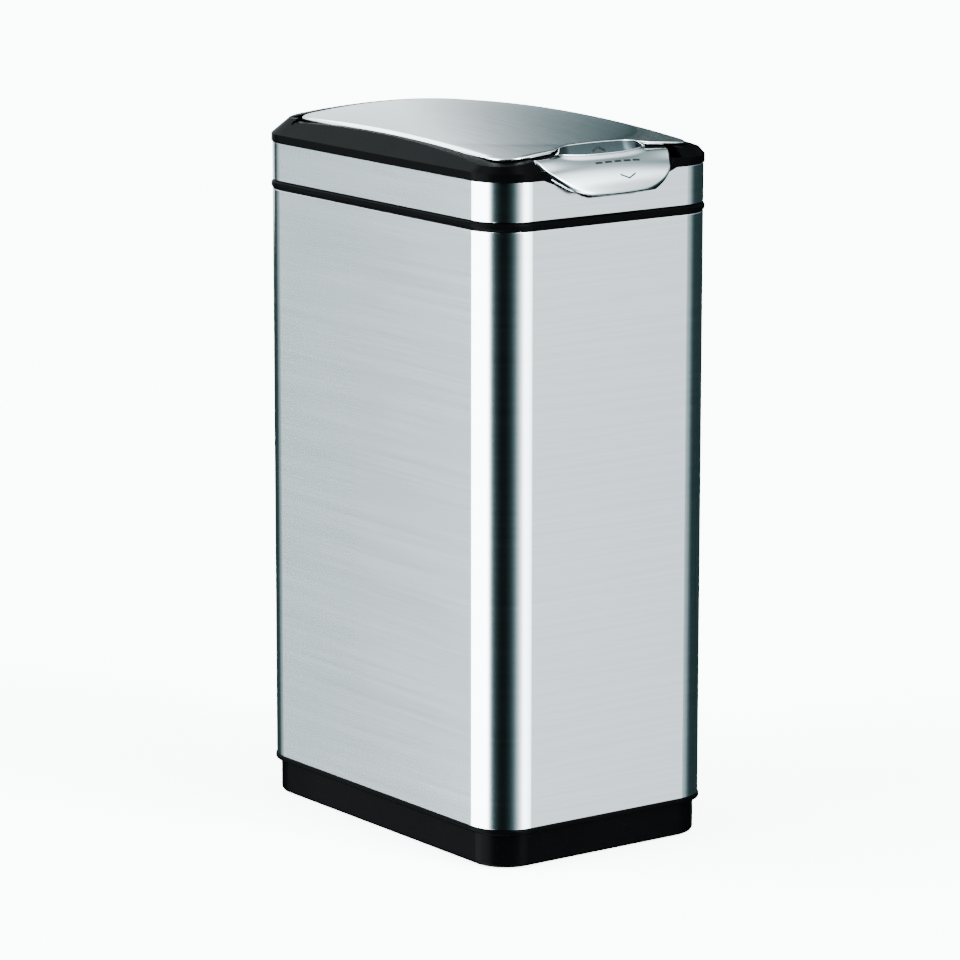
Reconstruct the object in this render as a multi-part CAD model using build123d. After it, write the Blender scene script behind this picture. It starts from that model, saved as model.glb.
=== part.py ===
"""Push-top kitchen bin: a slim steel body with a lift-off head, a sprung lid and a lift-out bucket.

Millimetres. +Z is up, the push tab is towards -Y, and the origin is on the floor under the
middle of the steel body. "Offset" always means a distance outwards from the body's steel face.
"""

from build123d import *
import os
from math import acos, atan2, degrees, hypot, sqrt

# ---- driving dimensions -------------------------------------------------------------------
# steel body
WIDTH = 250.0
DEPTH = 378.0
CORNER_R = 38.5
SHEET = 0.8
SLEEVE_H = 541.5
HEM_H = 6.0
HEM_R = 0.7
SEAM_W = 12.0
# fits
SEAT = 0.1
GAP = 0.3
RUN_FIT = 0.05
# how far a shape runs into the next one, or a cut runs past it
OVERLAP = 1.0
CUT_OVER = 5.0
CROWN_SWEEP = 15.0
# screw heads, as shares of the head's height and radius
SCREW_DOME = 0.45
SLOT_REACH = 0.6
SLOT_SINK = 0.5
SLOT_HALF = 0.4
# base
BASE_H = 37.5
PLINTH_INSET = 4.5
PLINTH_EDGE_R = 4.0
BEAD_PROUD = 1.0
BEAD_H = 5.0
BEAD_R = 1.8
WALL = 2.5
SPIGOT_H = 18.0
FOOT_PROUD = 0.8
FOOT_H = 3.0
FOOT_W = 9.0
FOOT_MARGIN = 8.0
PLINTH_FLOOR = 5.0
PLATE_T = 1.0
PLATE_DROP = 3.0
BOSS_R = 5.5
BOSS_MARGIN = 7.0
BASE_SCREW_R = 2.0
BASE_SCREW_HEAD_R = 4.0
BASE_SCREW_HEAD_H = 2.2
BASE_SCREW_L = 14.0
# band between body and head
BAND_H = 8.5
BAND_PROUD = 1.3
BAND_R = 3.6
RIM_LEG = 15.0
# head
COLLAR_H = 35.3
COLLAR_HEM_H = 4.0
HEM_EDGE_R = 0.6
BEZEL_BAND_H = 7.7
BEZEL_PROUD = 1.0
BEZEL_R = 1.2
SKIRT_DROP = 14.0
RIM_CLEAR = 0.5
SHOULDER_RISE = 16.0
SLOPE_LEAN = 1.1
CREST_RISE = 7.0
SHOULDER_BACK_INSET = 21.0
CREST_BACK_INSET = 29.0
MOUTH_INSET_X = 31.0
MOUTH_INSET_FRONT = 55.0
MOUTH_R = 28.0
MOUTH_DEPTH = 66.0
# lid
LID_RISE = 26.5
LID_INSET_X = 17.5
LID_INSET_FRONT = 16.0
LID_INSET_BACK = 35.5
LID_CORNER_R = 22.0
CROWN_R = 780.0
ARCH_R = 2080.0
ARCH_BACK_INSET = 164.0
LID_SHEET = 1.0
LID_RIM = 2.2
LID_RIM_W = 1.2
LID_GAP = 0.8
PAN_MARGIN = 4.0
PAN_T = 1.4
PAN_SKIRT_H = 13.0
PAN_TAIL = 2.8
PAN_SKIRT_CLEAR = 3.0
# finger notch in the lid's front edge
NOTCH_HALF = 50.0
NOTCH_DEPTH = 10.0
NOTCH_RUNOUT = 1.5
NOTCH_TURN_X = 0.8
NOTCH_TURN_Y = 0.45
# hinge
HINGE_BACK_INSET = 47.0
HINGE_DROP = 15.0
PIN_R = 2.0
HINGE_PIN_EDGE = 0.5
TAB_PIN_EDGE = 0.4
HUB_R = 4.4
EAR_T = 4.0
EAR_X = 77.0
TAIL_CLEAR = 0.6
COIL_WIRE_R = 0.6
COIL_R = 3.4
COIL_TURNS = 6
COIL_PITCH = 1.6
# front dip in the collar
DIP_TOP_HALF = 75.0
DIP_LOW_HALF = 26.0
DIP_DEPTH = 19.5
DIP_R = 12.0
DIP_RECESS = 0.3
# push tab
TAB_TOP_HALF = 78.0
TAB_MID_HALF = 66.0
TAB_LOW_HALF = 40.0
TAB_SHEET = 1.2
TAB_FLANGE = 4.5
TAB_LIP = 17.0
TAB_LIP_RISE = 20.5
TAB_BACK = 28.0
TAB_CLEAR = 1.2
TAB_BROW_INSET = 9.0
TAB_BROW_RISE = 8.0
TAB_NOSE_PROUD = 10.5
TAB_NOSE_RISE = 15.0
TAB_SMILE = 1.4
TAB_SHOULDER_DROP = 12.0
BAY_CLEAR = 1.5
BAY_FRONT_CUT = 10.0
POCKET_RISE = 0.5
BAY_BACK_CLEAR = 3.0
WELL_DROP = 2.0
BACKING_PROUD = 0.8
TAB_SINK = 3.2
TAB_MID_RISE = 20.0
TAB_TAIL = 6.0
TAB_OVERRUN = 20.0
TAB_CUT = 40.0
TAB_BROW_FALL = 0.12
TAB_LIP_TURN = 0.03
# share of an inset that each shaping point of the tab moves by
BROW_SHARE_Y = 0.45
BROW_SHARE_Z = 0.9
NOSE_SHARE_Y = 0.8
NOSE_SHARE_Z = 0.55
MID_SHARE_X = 0.8
MID_SHARE_Z = 0.6
LOW_SHARE_X = 0.5
# black carrier inside the tab
BACKING_CLEAR = 2.0
BACKING_RISE = 3.0
RIB_REACH = 8.0
RIB_TURN_Y = 0.8
RIB_TURN_Z = 0.6
BACKING_PROUD_OF_WALL = 3.2
TAB_PIVOT_INSET = 21.0
TAB_PIVOT_RISE = 30.5
DISH_HALF = 52.0
DISH_R = 14.0
DISH_INSET = 17.5
DISH_LIFT = 5.3
RIB_T = 3.0
RIB_X = (16.0, 44.0)
CHEEK_X = 54.0
CHEEK_T = 4.0
# catch
FINGER_DROP = 29.5
FINGER_T = 3.0
FINGER_W = 12.0
CATCH_W = 28.0
CATCH_T = 3.5
CATCH_ARM_T = 3.0
CATCH_ARM_W = 18.0
CATCH_LEAD = 4.0
SLOT_CLEAR = 2.0
SLOT_BACK = 6.0
GUIDE_LEAD = 4.0
GUIDE_H = 20.0
COVER_MARGIN = 12.0
POST_SUNK = 1.0
NOSE_REACH = 4.5
NOSE_H = 4.0
NOSE_RISE = 16.5
NOSE_BEVEL = 0.6
STRIKE_BITE = 2.3
STRIKE_T = 3.0
STRIKE_HOOK = 2.8
STRIKE_INSET = 7.3
STRIKE_FOOT_H = 5.0
STRIKE_BASE_T = 2.0
STRIKE_BASE_L = 14.0
STRIKE_SIDE_CLEAR = 1.0
STRIKE_BEVEL = 0.5
COVER_T = 2.5
POST_R = 3.5
SMALL_SCREW_R = 1.4
SMALL_SCREW_HEAD_R = 3.0
SMALL_SCREW_HEAD_H = 1.8
SMALL_SCREW_L = 9.0
# tab springs
SPRING_R = 4.0
SPRING_WIRE_R = 0.5
SPRING_H = 15.0
SPRING_TURNS = 6
SPRING_X = 30.0
SPRING_INSET = 9.0
SPRING_SEAT = 14.0
SHELF_T = 3.0
# rubber buffers under the lid
BUFFER_R = 4.0
BUFFER_SUNK = 1.2
BUFFER_X = 84.0
BUFFER_INSET = 27.0
# bucket
BUCKET_T = 2.0
BUCKET_FLOOR = 3.0
BUCKET_TOP_MARGIN = 14.0
BUCKET_FOOT_MARGIN = 25.0
BUCKET_BELOW_RIM = 31.0
FLANGE_W = 5.0
FLANGE_T = 3.0
FLANGE_LIP = 10.0
BAIL_WIRE_R = 2.5
BAIL_EYE_T = 4.0
BAIL_EYE_R = 6.0
BAIL_CORNER_R = 26.0
BAIL_BEND_R = 3.2
BAIL_BACK_INSET = 25.0
BAIL_END_PROUD = 2.0
GRIP_R = 7.0
GRIP_L = 110.0
GRIP_EDGE_R = 2.0

# ---- derived levels and edges ---------------------------------------------------------------
SIDE = WIDTH / 2
BACK = DEPTH / 2
FRONT = -DEPTH / 2
BODY_LOW = BASE_H
BODY_HIGH = BODY_LOW + SLEEVE_H
COLLAR_LOW = BODY_HIGH + BAND_H
COLLAR_HIGH = COLLAR_LOW + COLLAR_H
SLOPE_LOW = COLLAR_HIGH + BEZEL_BAND_H
LID_TOP = SLOPE_LOW + LID_RISE
ARCH_Y = BACK - ARCH_BACK_INSET
HINGE_Y = BACK - HINGE_BACK_INSET
HINGE_Z = LID_TOP - HINGE_DROP
SLEEVE_IN = -(2 * SHEET + SEAT)
RIM_IN = SLEEVE_IN - WALL
HEAD_WALL = -(SHEET + SEAT)
HEAD_IN = HEAD_WALL - WALL
SKIRT_OUT = RIM_IN - RIM_CLEAR
SKIRT_IN = SKIRT_OUT - WALL
SKIRT_LOW = COLLAR_LOW - SKIRT_DROP
PLINTH_IN = -(PLINTH_INSET + WALL)
PLINTH_TOP = BODY_LOW - BEAD_H
FLOOR_TOP = FOOT_PROUD + PLINTH_FLOOR
PLATE_LOW = BODY_LOW - PLATE_DROP
PLATE_TOP = PLATE_LOW + PLATE_T
LID_HALF = SIDE - LID_INSET_X
LID_FRONT = FRONT + LID_INSET_FRONT
LID_BACK = BACK - LID_INSET_BACK
LEDGE_DROP = LID_RIM + LID_GAP
TAIL_Y = LID_BACK - HINGE_Y
TAIL_Z = LID_TOP - (LID_BACK - ARCH_Y) ** 2 / (2 * ARCH_R) - HINGE_Z
TROUGH_R = sqrt(TAIL_Y**2 + TAIL_Z**2) + TAIL_CLEAR
MOUTH_HALF = SIDE - MOUTH_INSET_X
MOUTH_FRONT = FRONT + MOUTH_INSET_FRONT
MOUTH_BACK = HINGE_Y - TROUGH_R - WALL
MOUTH_LOW = LID_TOP - MOUTH_DEPTH - COVER_T
TAB_Y = FRONT + TAB_PIVOT_INSET
TAB_Z = COLLAR_LOW + TAB_PIVOT_RISE
LIP_Y = FRONT - TAB_LIP
LIP_Z = COLLAR_LOW + TAB_LIP_RISE
TAB_REAR = FRONT + TAB_BACK
POCKET_FLOOR = SLOPE_LOW + POCKET_RISE
BUCKET_LOW = PLATE_TOP + GAP
BUCKET_HIGH = BODY_HIGH - BUCKET_BELOW_RIM
BAIL_Z = BUCKET_HIGH + GAP + BAIL_WIRE_R


# ---- shapes that many pieces share ------------------------------------------------------------
def outline(offset):
    """The body's rounded rectangle, moved out by offset."""
    return RectangleRounded(WIDTH + 2 * offset, DEPTH + 2 * offset, CORNER_R + offset)


def slab(offset, low, high):
    return extrude(Plane.XY.offset(low) * outline(offset), high - low)


def tube(outer, inner, low, high):
    return slab(outer, low, high) - slab(inner, low, high)


def soft_slab(offset, low, high, low_r=0.0, high_r=0.0):
    """A slab whose lower or upper outer edge is rounded."""
    body = slab(offset, low, high)
    if high_r:
        body = fillet(body.edges().group_by(Axis.Z)[-1], high_r)
    if low_r:
        body = fillet(body.edges().group_by(Axis.Z)[0], low_r)
    return body


def span(x_lo, x_hi, y_lo, y_hi, z_lo, z_hi):
    """A block between two corners."""
    middle = Pos((x_lo + x_hi) / 2, (y_lo + y_hi) / 2, (z_lo + z_hi) / 2)
    return middle * Box(abs(x_hi - x_lo), abs(y_hi - y_lo), abs(z_hi - z_lo))


def both_sides(piece):
    """A piece and its mirror image across the middle plane."""
    return [piece, mirror(piece, Plane.YZ)]


def post(x, y, low, high, radius):
    return Pos(x, y, (low + high) / 2) * Cylinder(radius, high - low)


def bar_x(x_lo, x_hi, y, z, radius):
    """A round bar along X."""
    return Pos((x_lo + x_hi) / 2, y, z) * Rot(0, 90, 0) * Cylinder(radius, abs(x_hi - x_lo))


def oblong(half, front, back, radius, low, high):
    """An upright block with rounded corners between two Y values."""
    sketch = Plane.XY.offset(low) * Pos(0, (front + back) / 2) * RectangleRounded(
        2 * half, back - front, radius
    )
    return extrude(sketch, high - low)


def lid_height(x, y, drop=0.0):
    """Height of the lid's crowned face, lowered by drop."""
    across = CROWN_R - sqrt(CROWN_R**2 - x**2)
    along = ARCH_R - sqrt(ARCH_R**2 - (y - ARCH_Y) ** 2)
    return LID_TOP - across - along - drop


def crown_block(drop):
    """Everything under the lid's doubly crowned face, lowered by drop."""
    top = LID_TOP - drop
    half = SIDE + CUT_OVER
    centre = top - CROWN_R
    cosine = sqrt(1 - (half / CROWN_R) ** 2)
    shoulder = centre + CROWN_R * cosine
    peak = centre + CROWN_R / cosine
    low = SKIRT_LOW - COLLAR_H
    with BuildSketch(Plane.XZ.offset(-ARCH_Y)) as section:
        with BuildLine():
            Bezier((-half, shoulder), (0, peak), (half, shoulder), weights=(1, cosine, 1))
            Polyline((half, shoulder), (half, low), (-half, low), (-half, shoulder))
        make_face()
    axis = Axis((0, ARCH_Y, LID_TOP - ARCH_R), (1, 0, 0))
    start = section.sketch.rotate(axis, -CROWN_SWEEP / 2)
    return revolve(start, axis, CROWN_SWEEP)


def side_view(points, half):
    """A closed outline in Y and Z, extruded to both sides of the middle."""
    face = make_face(Plane.YZ * Polyline(*points, close=True))
    return extrude(face, half, both=True)


# ---- base and body ------------------------------------------------------------------------------
def boss_places():
    """Where the floor plate is screwed down, just inside the plinth's wall."""
    x = SIDE + PLINTH_IN - BOSS_MARGIN
    y = BACK + PLINTH_IN - BOSS_MARGIN
    along = DEPTH / 4
    return [(x, along), (x, -along), (-x, along), (-x, -along), (0, y), (0, -y)]


def make_foot_ring():
    outer = -(PLINTH_INSET + FOOT_MARGIN)
    return tube(outer, outer - FOOT_W, 0, FOOT_H)


def make_base_plinth():
    plinth = soft_slab(-PLINTH_INSET, FOOT_PROUD, PLINTH_TOP, low_r=PLINTH_EDGE_R)
    plinth += soft_slab(BEAD_PROUD, PLINTH_TOP, BODY_LOW, BEAD_R, BEAD_R)
    plinth += slab(SLEEVE_IN, BODY_LOW, BODY_LOW + SPIGOT_H)
    plinth -= slab(PLINTH_IN, FLOOR_TOP, BODY_LOW)
    plinth -= slab(RIM_IN, BODY_LOW, BODY_LOW + SPIGOT_H)
    groove = -(PLINTH_INSET + FOOT_MARGIN)
    plinth -= tube(groove + SEAT, groove - FOOT_W - SEAT, FOOT_PROUD, FOOT_H)
    for x, y in boss_places():
        plinth += post(x, y, FLOOR_TOP, PLATE_LOW, BOSS_R)
    for x, y in boss_places():
        plinth -= post(x, y, PLATE_TOP - BASE_SCREW_L, PLATE_LOW, BASE_SCREW_R)
    return plinth


def make_floor_plate():
    plate = slab(PLINTH_IN - GAP, PLATE_LOW, PLATE_TOP)
    for x, y in boss_places():
        plate -= post(x, y, PLATE_LOW, PLATE_TOP, BASE_SCREW_R + SEAT)
    return plate


def screw_down(x, y, seat, radius, length, head_r, head_h):
    """A pan-head screw whose head sits on seat and whose shank points down."""
    head = post(x, y, seat, seat + head_h, head_r)
    head = fillet(head.edges().group_by(Axis.Z)[-1], head_h * SCREW_DOME)
    reach = head_r * SLOT_REACH
    sunk = seat + head_h * SLOT_SINK
    slot = span(x - reach, x + reach, y - SLOT_HALF, y + SLOT_HALF, sunk, seat + head_h)
    return head + post(x, y, seat - length, seat, radius) - slot


def make_base_screws():
    screws = []
    for x, y in boss_places():
        screws.append(
            screw_down(
                x, y, PLATE_TOP, BASE_SCREW_R, BASE_SCREW_L, BASE_SCREW_HEAD_R, BASE_SCREW_HEAD_H
            )
        )
    return screws


def make_body_shell():
    """The sleeve: one sheet, folded back on itself at both ends, with a lock seam behind."""
    shell = soft_slab(0, BODY_LOW, BODY_HIGH, HEM_R, HEM_R)
    shell -= slab(-2 * SHEET, BODY_LOW, BODY_LOW + HEM_H)
    shell -= slab(-SHEET, BODY_LOW + HEM_H, BODY_HIGH - HEM_H)
    shell -= slab(-2 * SHEET, BODY_HIGH - HEM_H, BODY_HIGH)
    seam_low = BODY_LOW + SPIGOT_H + SEAT
    seam_high = BODY_HIGH - RIM_LEG - SEAT
    return shell + span(
        -SEAM_W / 2, SEAM_W / 2, BACK - 2 * SHEET, BACK - SHEET / 2, seam_low, seam_high
    )


def make_body_rim():
    """The black band on top of the sleeve, with a leg inside it."""
    rim = soft_slab(BAND_PROUD, BODY_HIGH, COLLAR_LOW - GAP, BAND_R, BAND_R)
    rim += slab(SLEEVE_IN, BODY_HIGH - RIM_LEG, BODY_HIGH)
    return rim - slab(RIM_IN, BODY_HIGH - RIM_LEG, COLLAR_LOW)


# ---- head ------------------------------------------------------------------------------------------
def dip_face(shrink):
    """The shallow bowl-shaped dip in the collar's front, seen from the front."""
    low = COLLAR_HIGH - DIP_DEPTH + shrink
    top = COLLAR_HIGH + OVERLAP
    with BuildSketch(Plane.XZ) as face:
        with BuildLine():
            Polyline(
                (-DIP_TOP_HALF + shrink, top),
                (-DIP_TOP_HALF + shrink, COLLAR_HIGH),
                (-DIP_LOW_HALF + shrink, low),
                (DIP_LOW_HALF - shrink, low),
                (DIP_TOP_HALF - shrink, COLLAR_HIGH),
                (DIP_TOP_HALF - shrink, top),
                close=True,
            )
        make_face()
        fillet(face.vertices().group_by(Axis.Y)[0], DIP_R)
    return face.sketch


def dip_block(shrink, front, back):
    return Pos(0, back, 0) * extrude(dip_face(shrink), back - front)


def make_collar_band():
    collar = soft_slab(0, COLLAR_LOW, COLLAR_HIGH, HEM_EDGE_R, HEM_EDGE_R)
    collar -= slab(-2 * SHEET, COLLAR_LOW, COLLAR_LOW + COLLAR_HEM_H)
    collar -= slab(-SHEET, COLLAR_LOW + COLLAR_HEM_H, COLLAR_HIGH - COLLAR_HEM_H)
    collar -= slab(-2 * SHEET, COLLAR_HIGH - COLLAR_HEM_H, COLLAR_HIGH)
    return collar - dip_block(0, FRONT - CUT_OVER, FRONT + CUT_OVER)


def bezel_form(inset):
    """The head's moulding as a solid, or its hollow when inset is a wall's thickness."""
    band = BEZEL_PROUD - inset
    lean = inset * SLOPE_LEAN
    shoulder_z = SLOPE_LOW + SHOULDER_RISE
    crest_z = shoulder_z + CREST_RISE
    half = SIDE - LID_INSET_X + LEDGE_DROP - lean
    front = FRONT + LID_INSET_FRONT - LEDGE_DROP + lean
    shoulder = Plane.XY.offset(shoulder_z - inset) * Pos(0, (front + BACK - SHOULDER_BACK_INSET - lean) / 2)
    shoulder *= RectangleRounded(2 * half, BACK - SHOULDER_BACK_INSET - lean - front, LID_CORNER_R)
    crest = Plane.XY.offset(crest_z - inset) * Pos(0, (front + BACK - CREST_BACK_INSET - lean) / 2)
    crest *= RectangleRounded(2 * half, BACK - CREST_BACK_INSET - lean - front, LID_CORNER_R)
    foot = Plane.XY.offset(SLOPE_LOW - inset) * outline(band)
    return loft([foot, shoulder], ruled=True) + loft([shoulder, crest], ruled=True)


def bezel_outside():
    shell = slab(HEAD_WALL, COLLAR_LOW, COLLAR_HIGH)
    shell -= tube(OVERLAP, -(2 * SHEET + SEAT), COLLAR_LOW, COLLAR_LOW + COLLAR_HEM_H)
    shell -= tube(OVERLAP, -(2 * SHEET + SEAT), COLLAR_HIGH - COLLAR_HEM_H, COLLAR_HIGH)
    shell += soft_slab(BEZEL_PROUD, COLLAR_HIGH, SLOPE_LOW, low_r=BEZEL_R)
    ledge = bezel_form(0) & crown_block(LEDGE_DROP)
    deck = bezel_form(0) & crown_block(0) & span(-SIDE, SIDE, HINGE_Y, BACK, SLOPE_LOW, LID_TOP)
    return shell + ledge + deck


def trough(radius):
    """Round channel behind the mouth that the lid's tail turns down into."""
    return bar_x(-LID_HALF - LEDGE_DROP / 2, LID_HALF + LEDGE_DROP / 2, HINGE_Y, HINGE_Z, radius)


def hinge_post(x):
    """One ear of the hinge, standing in the trough."""
    ear = bar_x(x, x + EAR_T, HINGE_Y, HINGE_Z, HUB_R)
    root = HINGE_Z - TROUGH_R - OVERLAP
    return ear + span(x, x + EAR_T, HINGE_Y - HUB_R, HINGE_Y + HUB_R / 2, root, HINGE_Z)


def make_head_bezel():
    """Black moulding that carries the collar, hinge, tab and catch."""
    shell = bezel_outside()
    lower = COLLAR_LOW + WALL
    hollow = slab(HEAD_IN, lower, COLLAR_HIGH + BEZEL_BAND_H - WALL)
    hollow += slab(SKIRT_IN, SKIRT_LOW, lower)
    hollow += bezel_form(WALL) & crown_block(LEDGE_DROP + WALL)
    shell -= hollow
    shell += tube(SKIRT_OUT, SKIRT_IN, SKIRT_LOW, lower)

    mouth = oblong(MOUTH_HALF, MOUTH_FRONT, MOUTH_BACK, MOUTH_R, SKIRT_LOW, LID_TOP)
    guard = oblong(
        MOUTH_HALF + WALL, MOUTH_FRONT - WALL, MOUTH_BACK + WALL, MOUTH_R + WALL, MOUTH_LOW, LID_TOP
    )
    shell += guard & crown_block(LEDGE_DROP)
    shell -= mouth

    behind = span(-SIDE, SIDE, HINGE_Y - TROUGH_R - WALL, BACK, COLLAR_LOW, LID_TOP)
    shell += (trough(TROUGH_R + WALL) & behind) & crown_block(LEDGE_DROP)
    shell -= trough(TROUGH_R)
    shell -= span(
        -LID_HALF - LEDGE_DROP / 2,
        LID_HALF + LEDGE_DROP / 2,
        HINGE_Y,
        HINGE_Y + TROUGH_R,
        HINGE_Z,
        LID_TOP,
    )
    for ear in both_sides(hinge_post(EAR_X)) + both_sides(hinge_post(EAR_X + 2 * (EAR_T + GAP))):
        shell += ear
    slot_lo = EAR_X + EAR_T
    slot_hi = slot_lo + EAR_T + 2 * GAP
    for notch in both_sides(
        span(slot_lo, slot_hi, MOUTH_BACK - MOUTH_R / 3, HINGE_Y, HINGE_Z - HUB_R - GAP, LID_TOP)
    ):
        shell -= notch
    shell -= bar_x(-SIDE, SIDE, HINGE_Y, HINGE_Z, PIN_R)

    shell -= both_sides(buffer_post(SEAT) - crown_block(LEDGE_DROP + BUFFER_SUNK))
    shell += dip_block(SEAT, FRONT + DIP_RECESS, FRONT - HEAD_IN)
    return add_tab_bay(shell)


def add_tab_bay(shell):
    """Cut the bay for the push tab, and add the cheeks, shelves and guides inside it."""
    bay_half = TAB_TOP_HALF + BAY_CLEAR
    bay_back = TAB_REAR + BAY_BACK_CLEAR
    shell -= span(-bay_half, bay_half, FRONT - BAY_FRONT_CUT, bay_back, POCKET_FLOOR, LID_TOP)
    wall_in = FRONT - HEAD_IN - WALL / 2
    floor = span(
        -bay_half - WALL, bay_half + WALL, wall_in, bay_back + WALL, POCKET_FLOOR - WALL, POCKET_FLOOR
    )
    shell += floor & slab(HEAD_WALL, COLLAR_LOW, LID_TOP)
    well_low = TAB_Z - WELL_DROP
    shell -= span(-CHEEK_X, CHEEK_X, FRONT - BAY_FRONT_CUT, bay_back, well_low, LID_TOP)
    sunk = Pos(0, 0, -TAB_SINK) * tab_front(-GAP)
    shell -= sunk & span(
        -SIDE,
        SIDE,
        FRONT - BAY_FRONT_CUT,
        FRONT + RIB_REACH,
        COLLAR_HIGH + SHEET,
        POCKET_FLOOR + OVERLAP,
    )
    cheek_x = CHEEK_X + CHEEK_T
    cheek = span(CHEEK_X, cheek_x, wall_in, TAB_Y + 2 * HUB_R, TAB_Z - 2 * HUB_R, POCKET_FLOOR - WALL / 2)
    for piece in both_sides(cheek):
        shell += piece
    shell -= bar_x(-CHEEK_X - CHEEK_T, CHEEK_X + CHEEK_T, TAB_Y, TAB_Z, PIN_R)
    half = SPRING_SEAT / 2
    shelf_z = spring_low() - GAP
    shelf = span(
        SPRING_X - half, SPRING_X + half, wall_in, FRONT + SPRING_INSET + half, shelf_z - SHELF_T, shelf_z
    )
    for piece in both_sides(shelf):
        shell += piece
    slot_x = CATCH_ARM_W / 2 + SLOT_CLEAR
    shell -= span(-slot_x, slot_x, bay_back - WALL / 2, arm_back() + SLOT_BACK, TAB_Z, LID_TOP)
    guide_x = CATCH_W / 2 + GAP
    guide_front = catch_front() - GUIDE_LEAD
    guide_top = cover_top() + GUIDE_H
    guide = span(guide_x, guide_x + RIB_T, guide_front, MOUTH_FRONT - WALL / 2, cover_top(), guide_top)
    for piece in both_sides(guide):
        shell += piece
    for x, y in cover_places():
        shell += post(x, y, cover_top(), guide_top, POST_R)
    for x, y in cover_places():
        shell -= post(x, y, cover_top(), cover_top() + SMALL_SCREW_L - COVER_T, SMALL_SCREW_R)
    return shell


def make_hinge_pin():
    reach = EAR_X + 3 * EAR_T + 2 * GAP + OVERLAP
    pin = bar_x(-reach, reach, HINGE_Y, HINGE_Z, PIN_R)
    return chamfer(pin.edges().filter_by(GeomType.CIRCLE), HINGE_PIN_EDGE)


def wire(start, end, radius):
    """A straight round wire between two points."""
    run = Vector(*end) - Vector(*start)
    return extrude(Plane(origin=start, z_dir=run) * Circle(radius), run.length)


def make_lid_springs():
    """A torsion spring round the pin at each side: one leg on the trough's wall, one under the lid."""
    reach = TROUGH_R - COIL_WIRE_R - SEAT
    tip = -(reach - COIL_WIRE_R)
    x_out = EAR_X - GAP - COIL_WIRE_R
    under = LID_SHEET + SEAT + PAN_T + GAP + COIL_WIRE_R
    rise = lid_height(x_out, HINGE_Y + tip, under) - HINGE_Z
    leaves_at = degrees(atan2(rise, tip) - acos(COIL_R / hypot(tip, rise)))
    length = COIL_PITCH * (COIL_TURNS + (leaves_at + 90) / 360)
    coil = Helix(COIL_PITCH, length, COIL_R)
    profile = Plane(origin=coil @ 0, z_dir=coil % 0) * Circle(COIL_WIRE_R)
    spring = Rot(0, 90, 0) * sweep(profile, coil, is_frenet=True)
    leave = Vector(length, COIL_R, 0).rotate(Axis.X, leaves_at)
    bend = Sphere(COIL_WIRE_R + SEAT)
    spring += Pos(0, 0, -COIL_R) * bend + Pos(*leave) * bend
    spring += wire((0, 0, -COIL_R), (0, -reach, -COIL_R), COIL_WIRE_R)
    spring += wire(tuple(leave), (length, tip, rise), COIL_WIRE_R)
    return both_sides(Pos(x_out - length, HINGE_Y, HINGE_Z) * spring)


# ---- push tab ------------------------------------------------------------------------------------
def tab_profile(inset):
    """Side view of the tab's outer face, moved inwards by inset, as a solid to both sides."""
    top = lid_height(0, TAB_REAR, LEDGE_DROP + TAB_CLEAR)
    lip = LIP_Y + inset
    with BuildSketch(Plane.YZ) as face:
        with BuildLine():
            rear = (TAB_REAR + TAB_OVERRUN, top - inset)
            start = (TAB_REAR, top - inset)
            brow_y = FRONT + TAB_BROW_INSET + inset * BROW_SHARE_Y
            brow = (brow_y, SLOPE_LOW + TAB_BROW_RISE - inset * BROW_SHARE_Z)
            nose_y = FRONT - TAB_NOSE_PROUD + inset * NOSE_SHARE_Y
            nose = (nose_y, LIP_Z + TAB_NOSE_RISE - inset * NOSE_SHARE_Z)
            end = (lip, LIP_Z - TAB_TAIL)
            Line(rear, start)
            Spline(start, brow, nose, end, tangents=[(-1, -TAB_BROW_FALL), (TAB_LIP_TURN, -1)])
            Polyline(end, (TAB_REAR + TAB_OVERRUN, LIP_Z - TAB_TAIL), rear)
        make_face()
    return extrude(face.sketch, SIDE, both=True)


def tab_front(inset):
    """Front view of the tab, moved inwards by inset, as a solid through the head's front."""
    high = LID_TOP - TAB_SHOULDER_DROP
    low = LIP_Z + inset
    low_half = TAB_LOW_HALF - inset * LOW_SHARE_X
    with BuildSketch(Plane.XZ) as face:
        with BuildLine():
            right = ThreePointArc(
                (TAB_TOP_HALF - inset, high),
                (TAB_MID_HALF - inset * MID_SHARE_X, LIP_Z + TAB_MID_RISE + inset * MID_SHARE_Z),
                (low_half, low),
            )
            ThreePointArc((low_half, low), (0, low - TAB_SMILE), (-low_half, low))
            mirror(right, Plane.YZ)
            Polyline(
                (TAB_TOP_HALF - inset, high),
                (TAB_TOP_HALF - inset, LID_TOP),
                (-TAB_TOP_HALF + inset, LID_TOP),
                (-TAB_TOP_HALF + inset, high),
            )
        make_face()
    return Pos(0, FRONT + TAB_CUT, 0) * extrude(face.sketch, 2 * TAB_CUT)


def dish(radius):
    """The finger scoop's hollow: a pointed spindle across the tab."""
    reach = DISH_HALF + radius - DISH_R
    with BuildSketch(Plane.XY) as face:
        with BuildLine():
            ThreePointArc((-reach, 0), (0, radius), (reach, 0))
            Line((reach, 0), (-reach, 0))
        make_face()
    spindle = revolve(face.sketch, Axis.X, 360)
    y = FRONT + DISH_INSET
    return Pos(0, y, lid_height(0, y, LEDGE_DROP) + DISH_LIFT) * spindle


def tab_block(inset):
    block = tab_profile(inset) & tab_front(inset)
    block &= crown_block(LEDGE_DROP + TAB_CLEAR / 2 + inset)
    block -= dish(DISH_R + inset)
    return block


def make_push_tab():
    """Steel skin of the tab, with a short return flange all round."""
    skin = tab_block(0) - tab_block(TAB_SHEET)
    skin -= tab_profile(TAB_FLANGE) - dish_bed()
    return skin & span(-SIDE, SIDE, LIP_Y - OVERLAP, TAB_REAR, LIP_Z - CUT_OVER, LID_TOP)


def dish_bed():
    """Room kept for the steel under the finger scoop."""
    return dish(DISH_R + TAB_SHEET)


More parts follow.
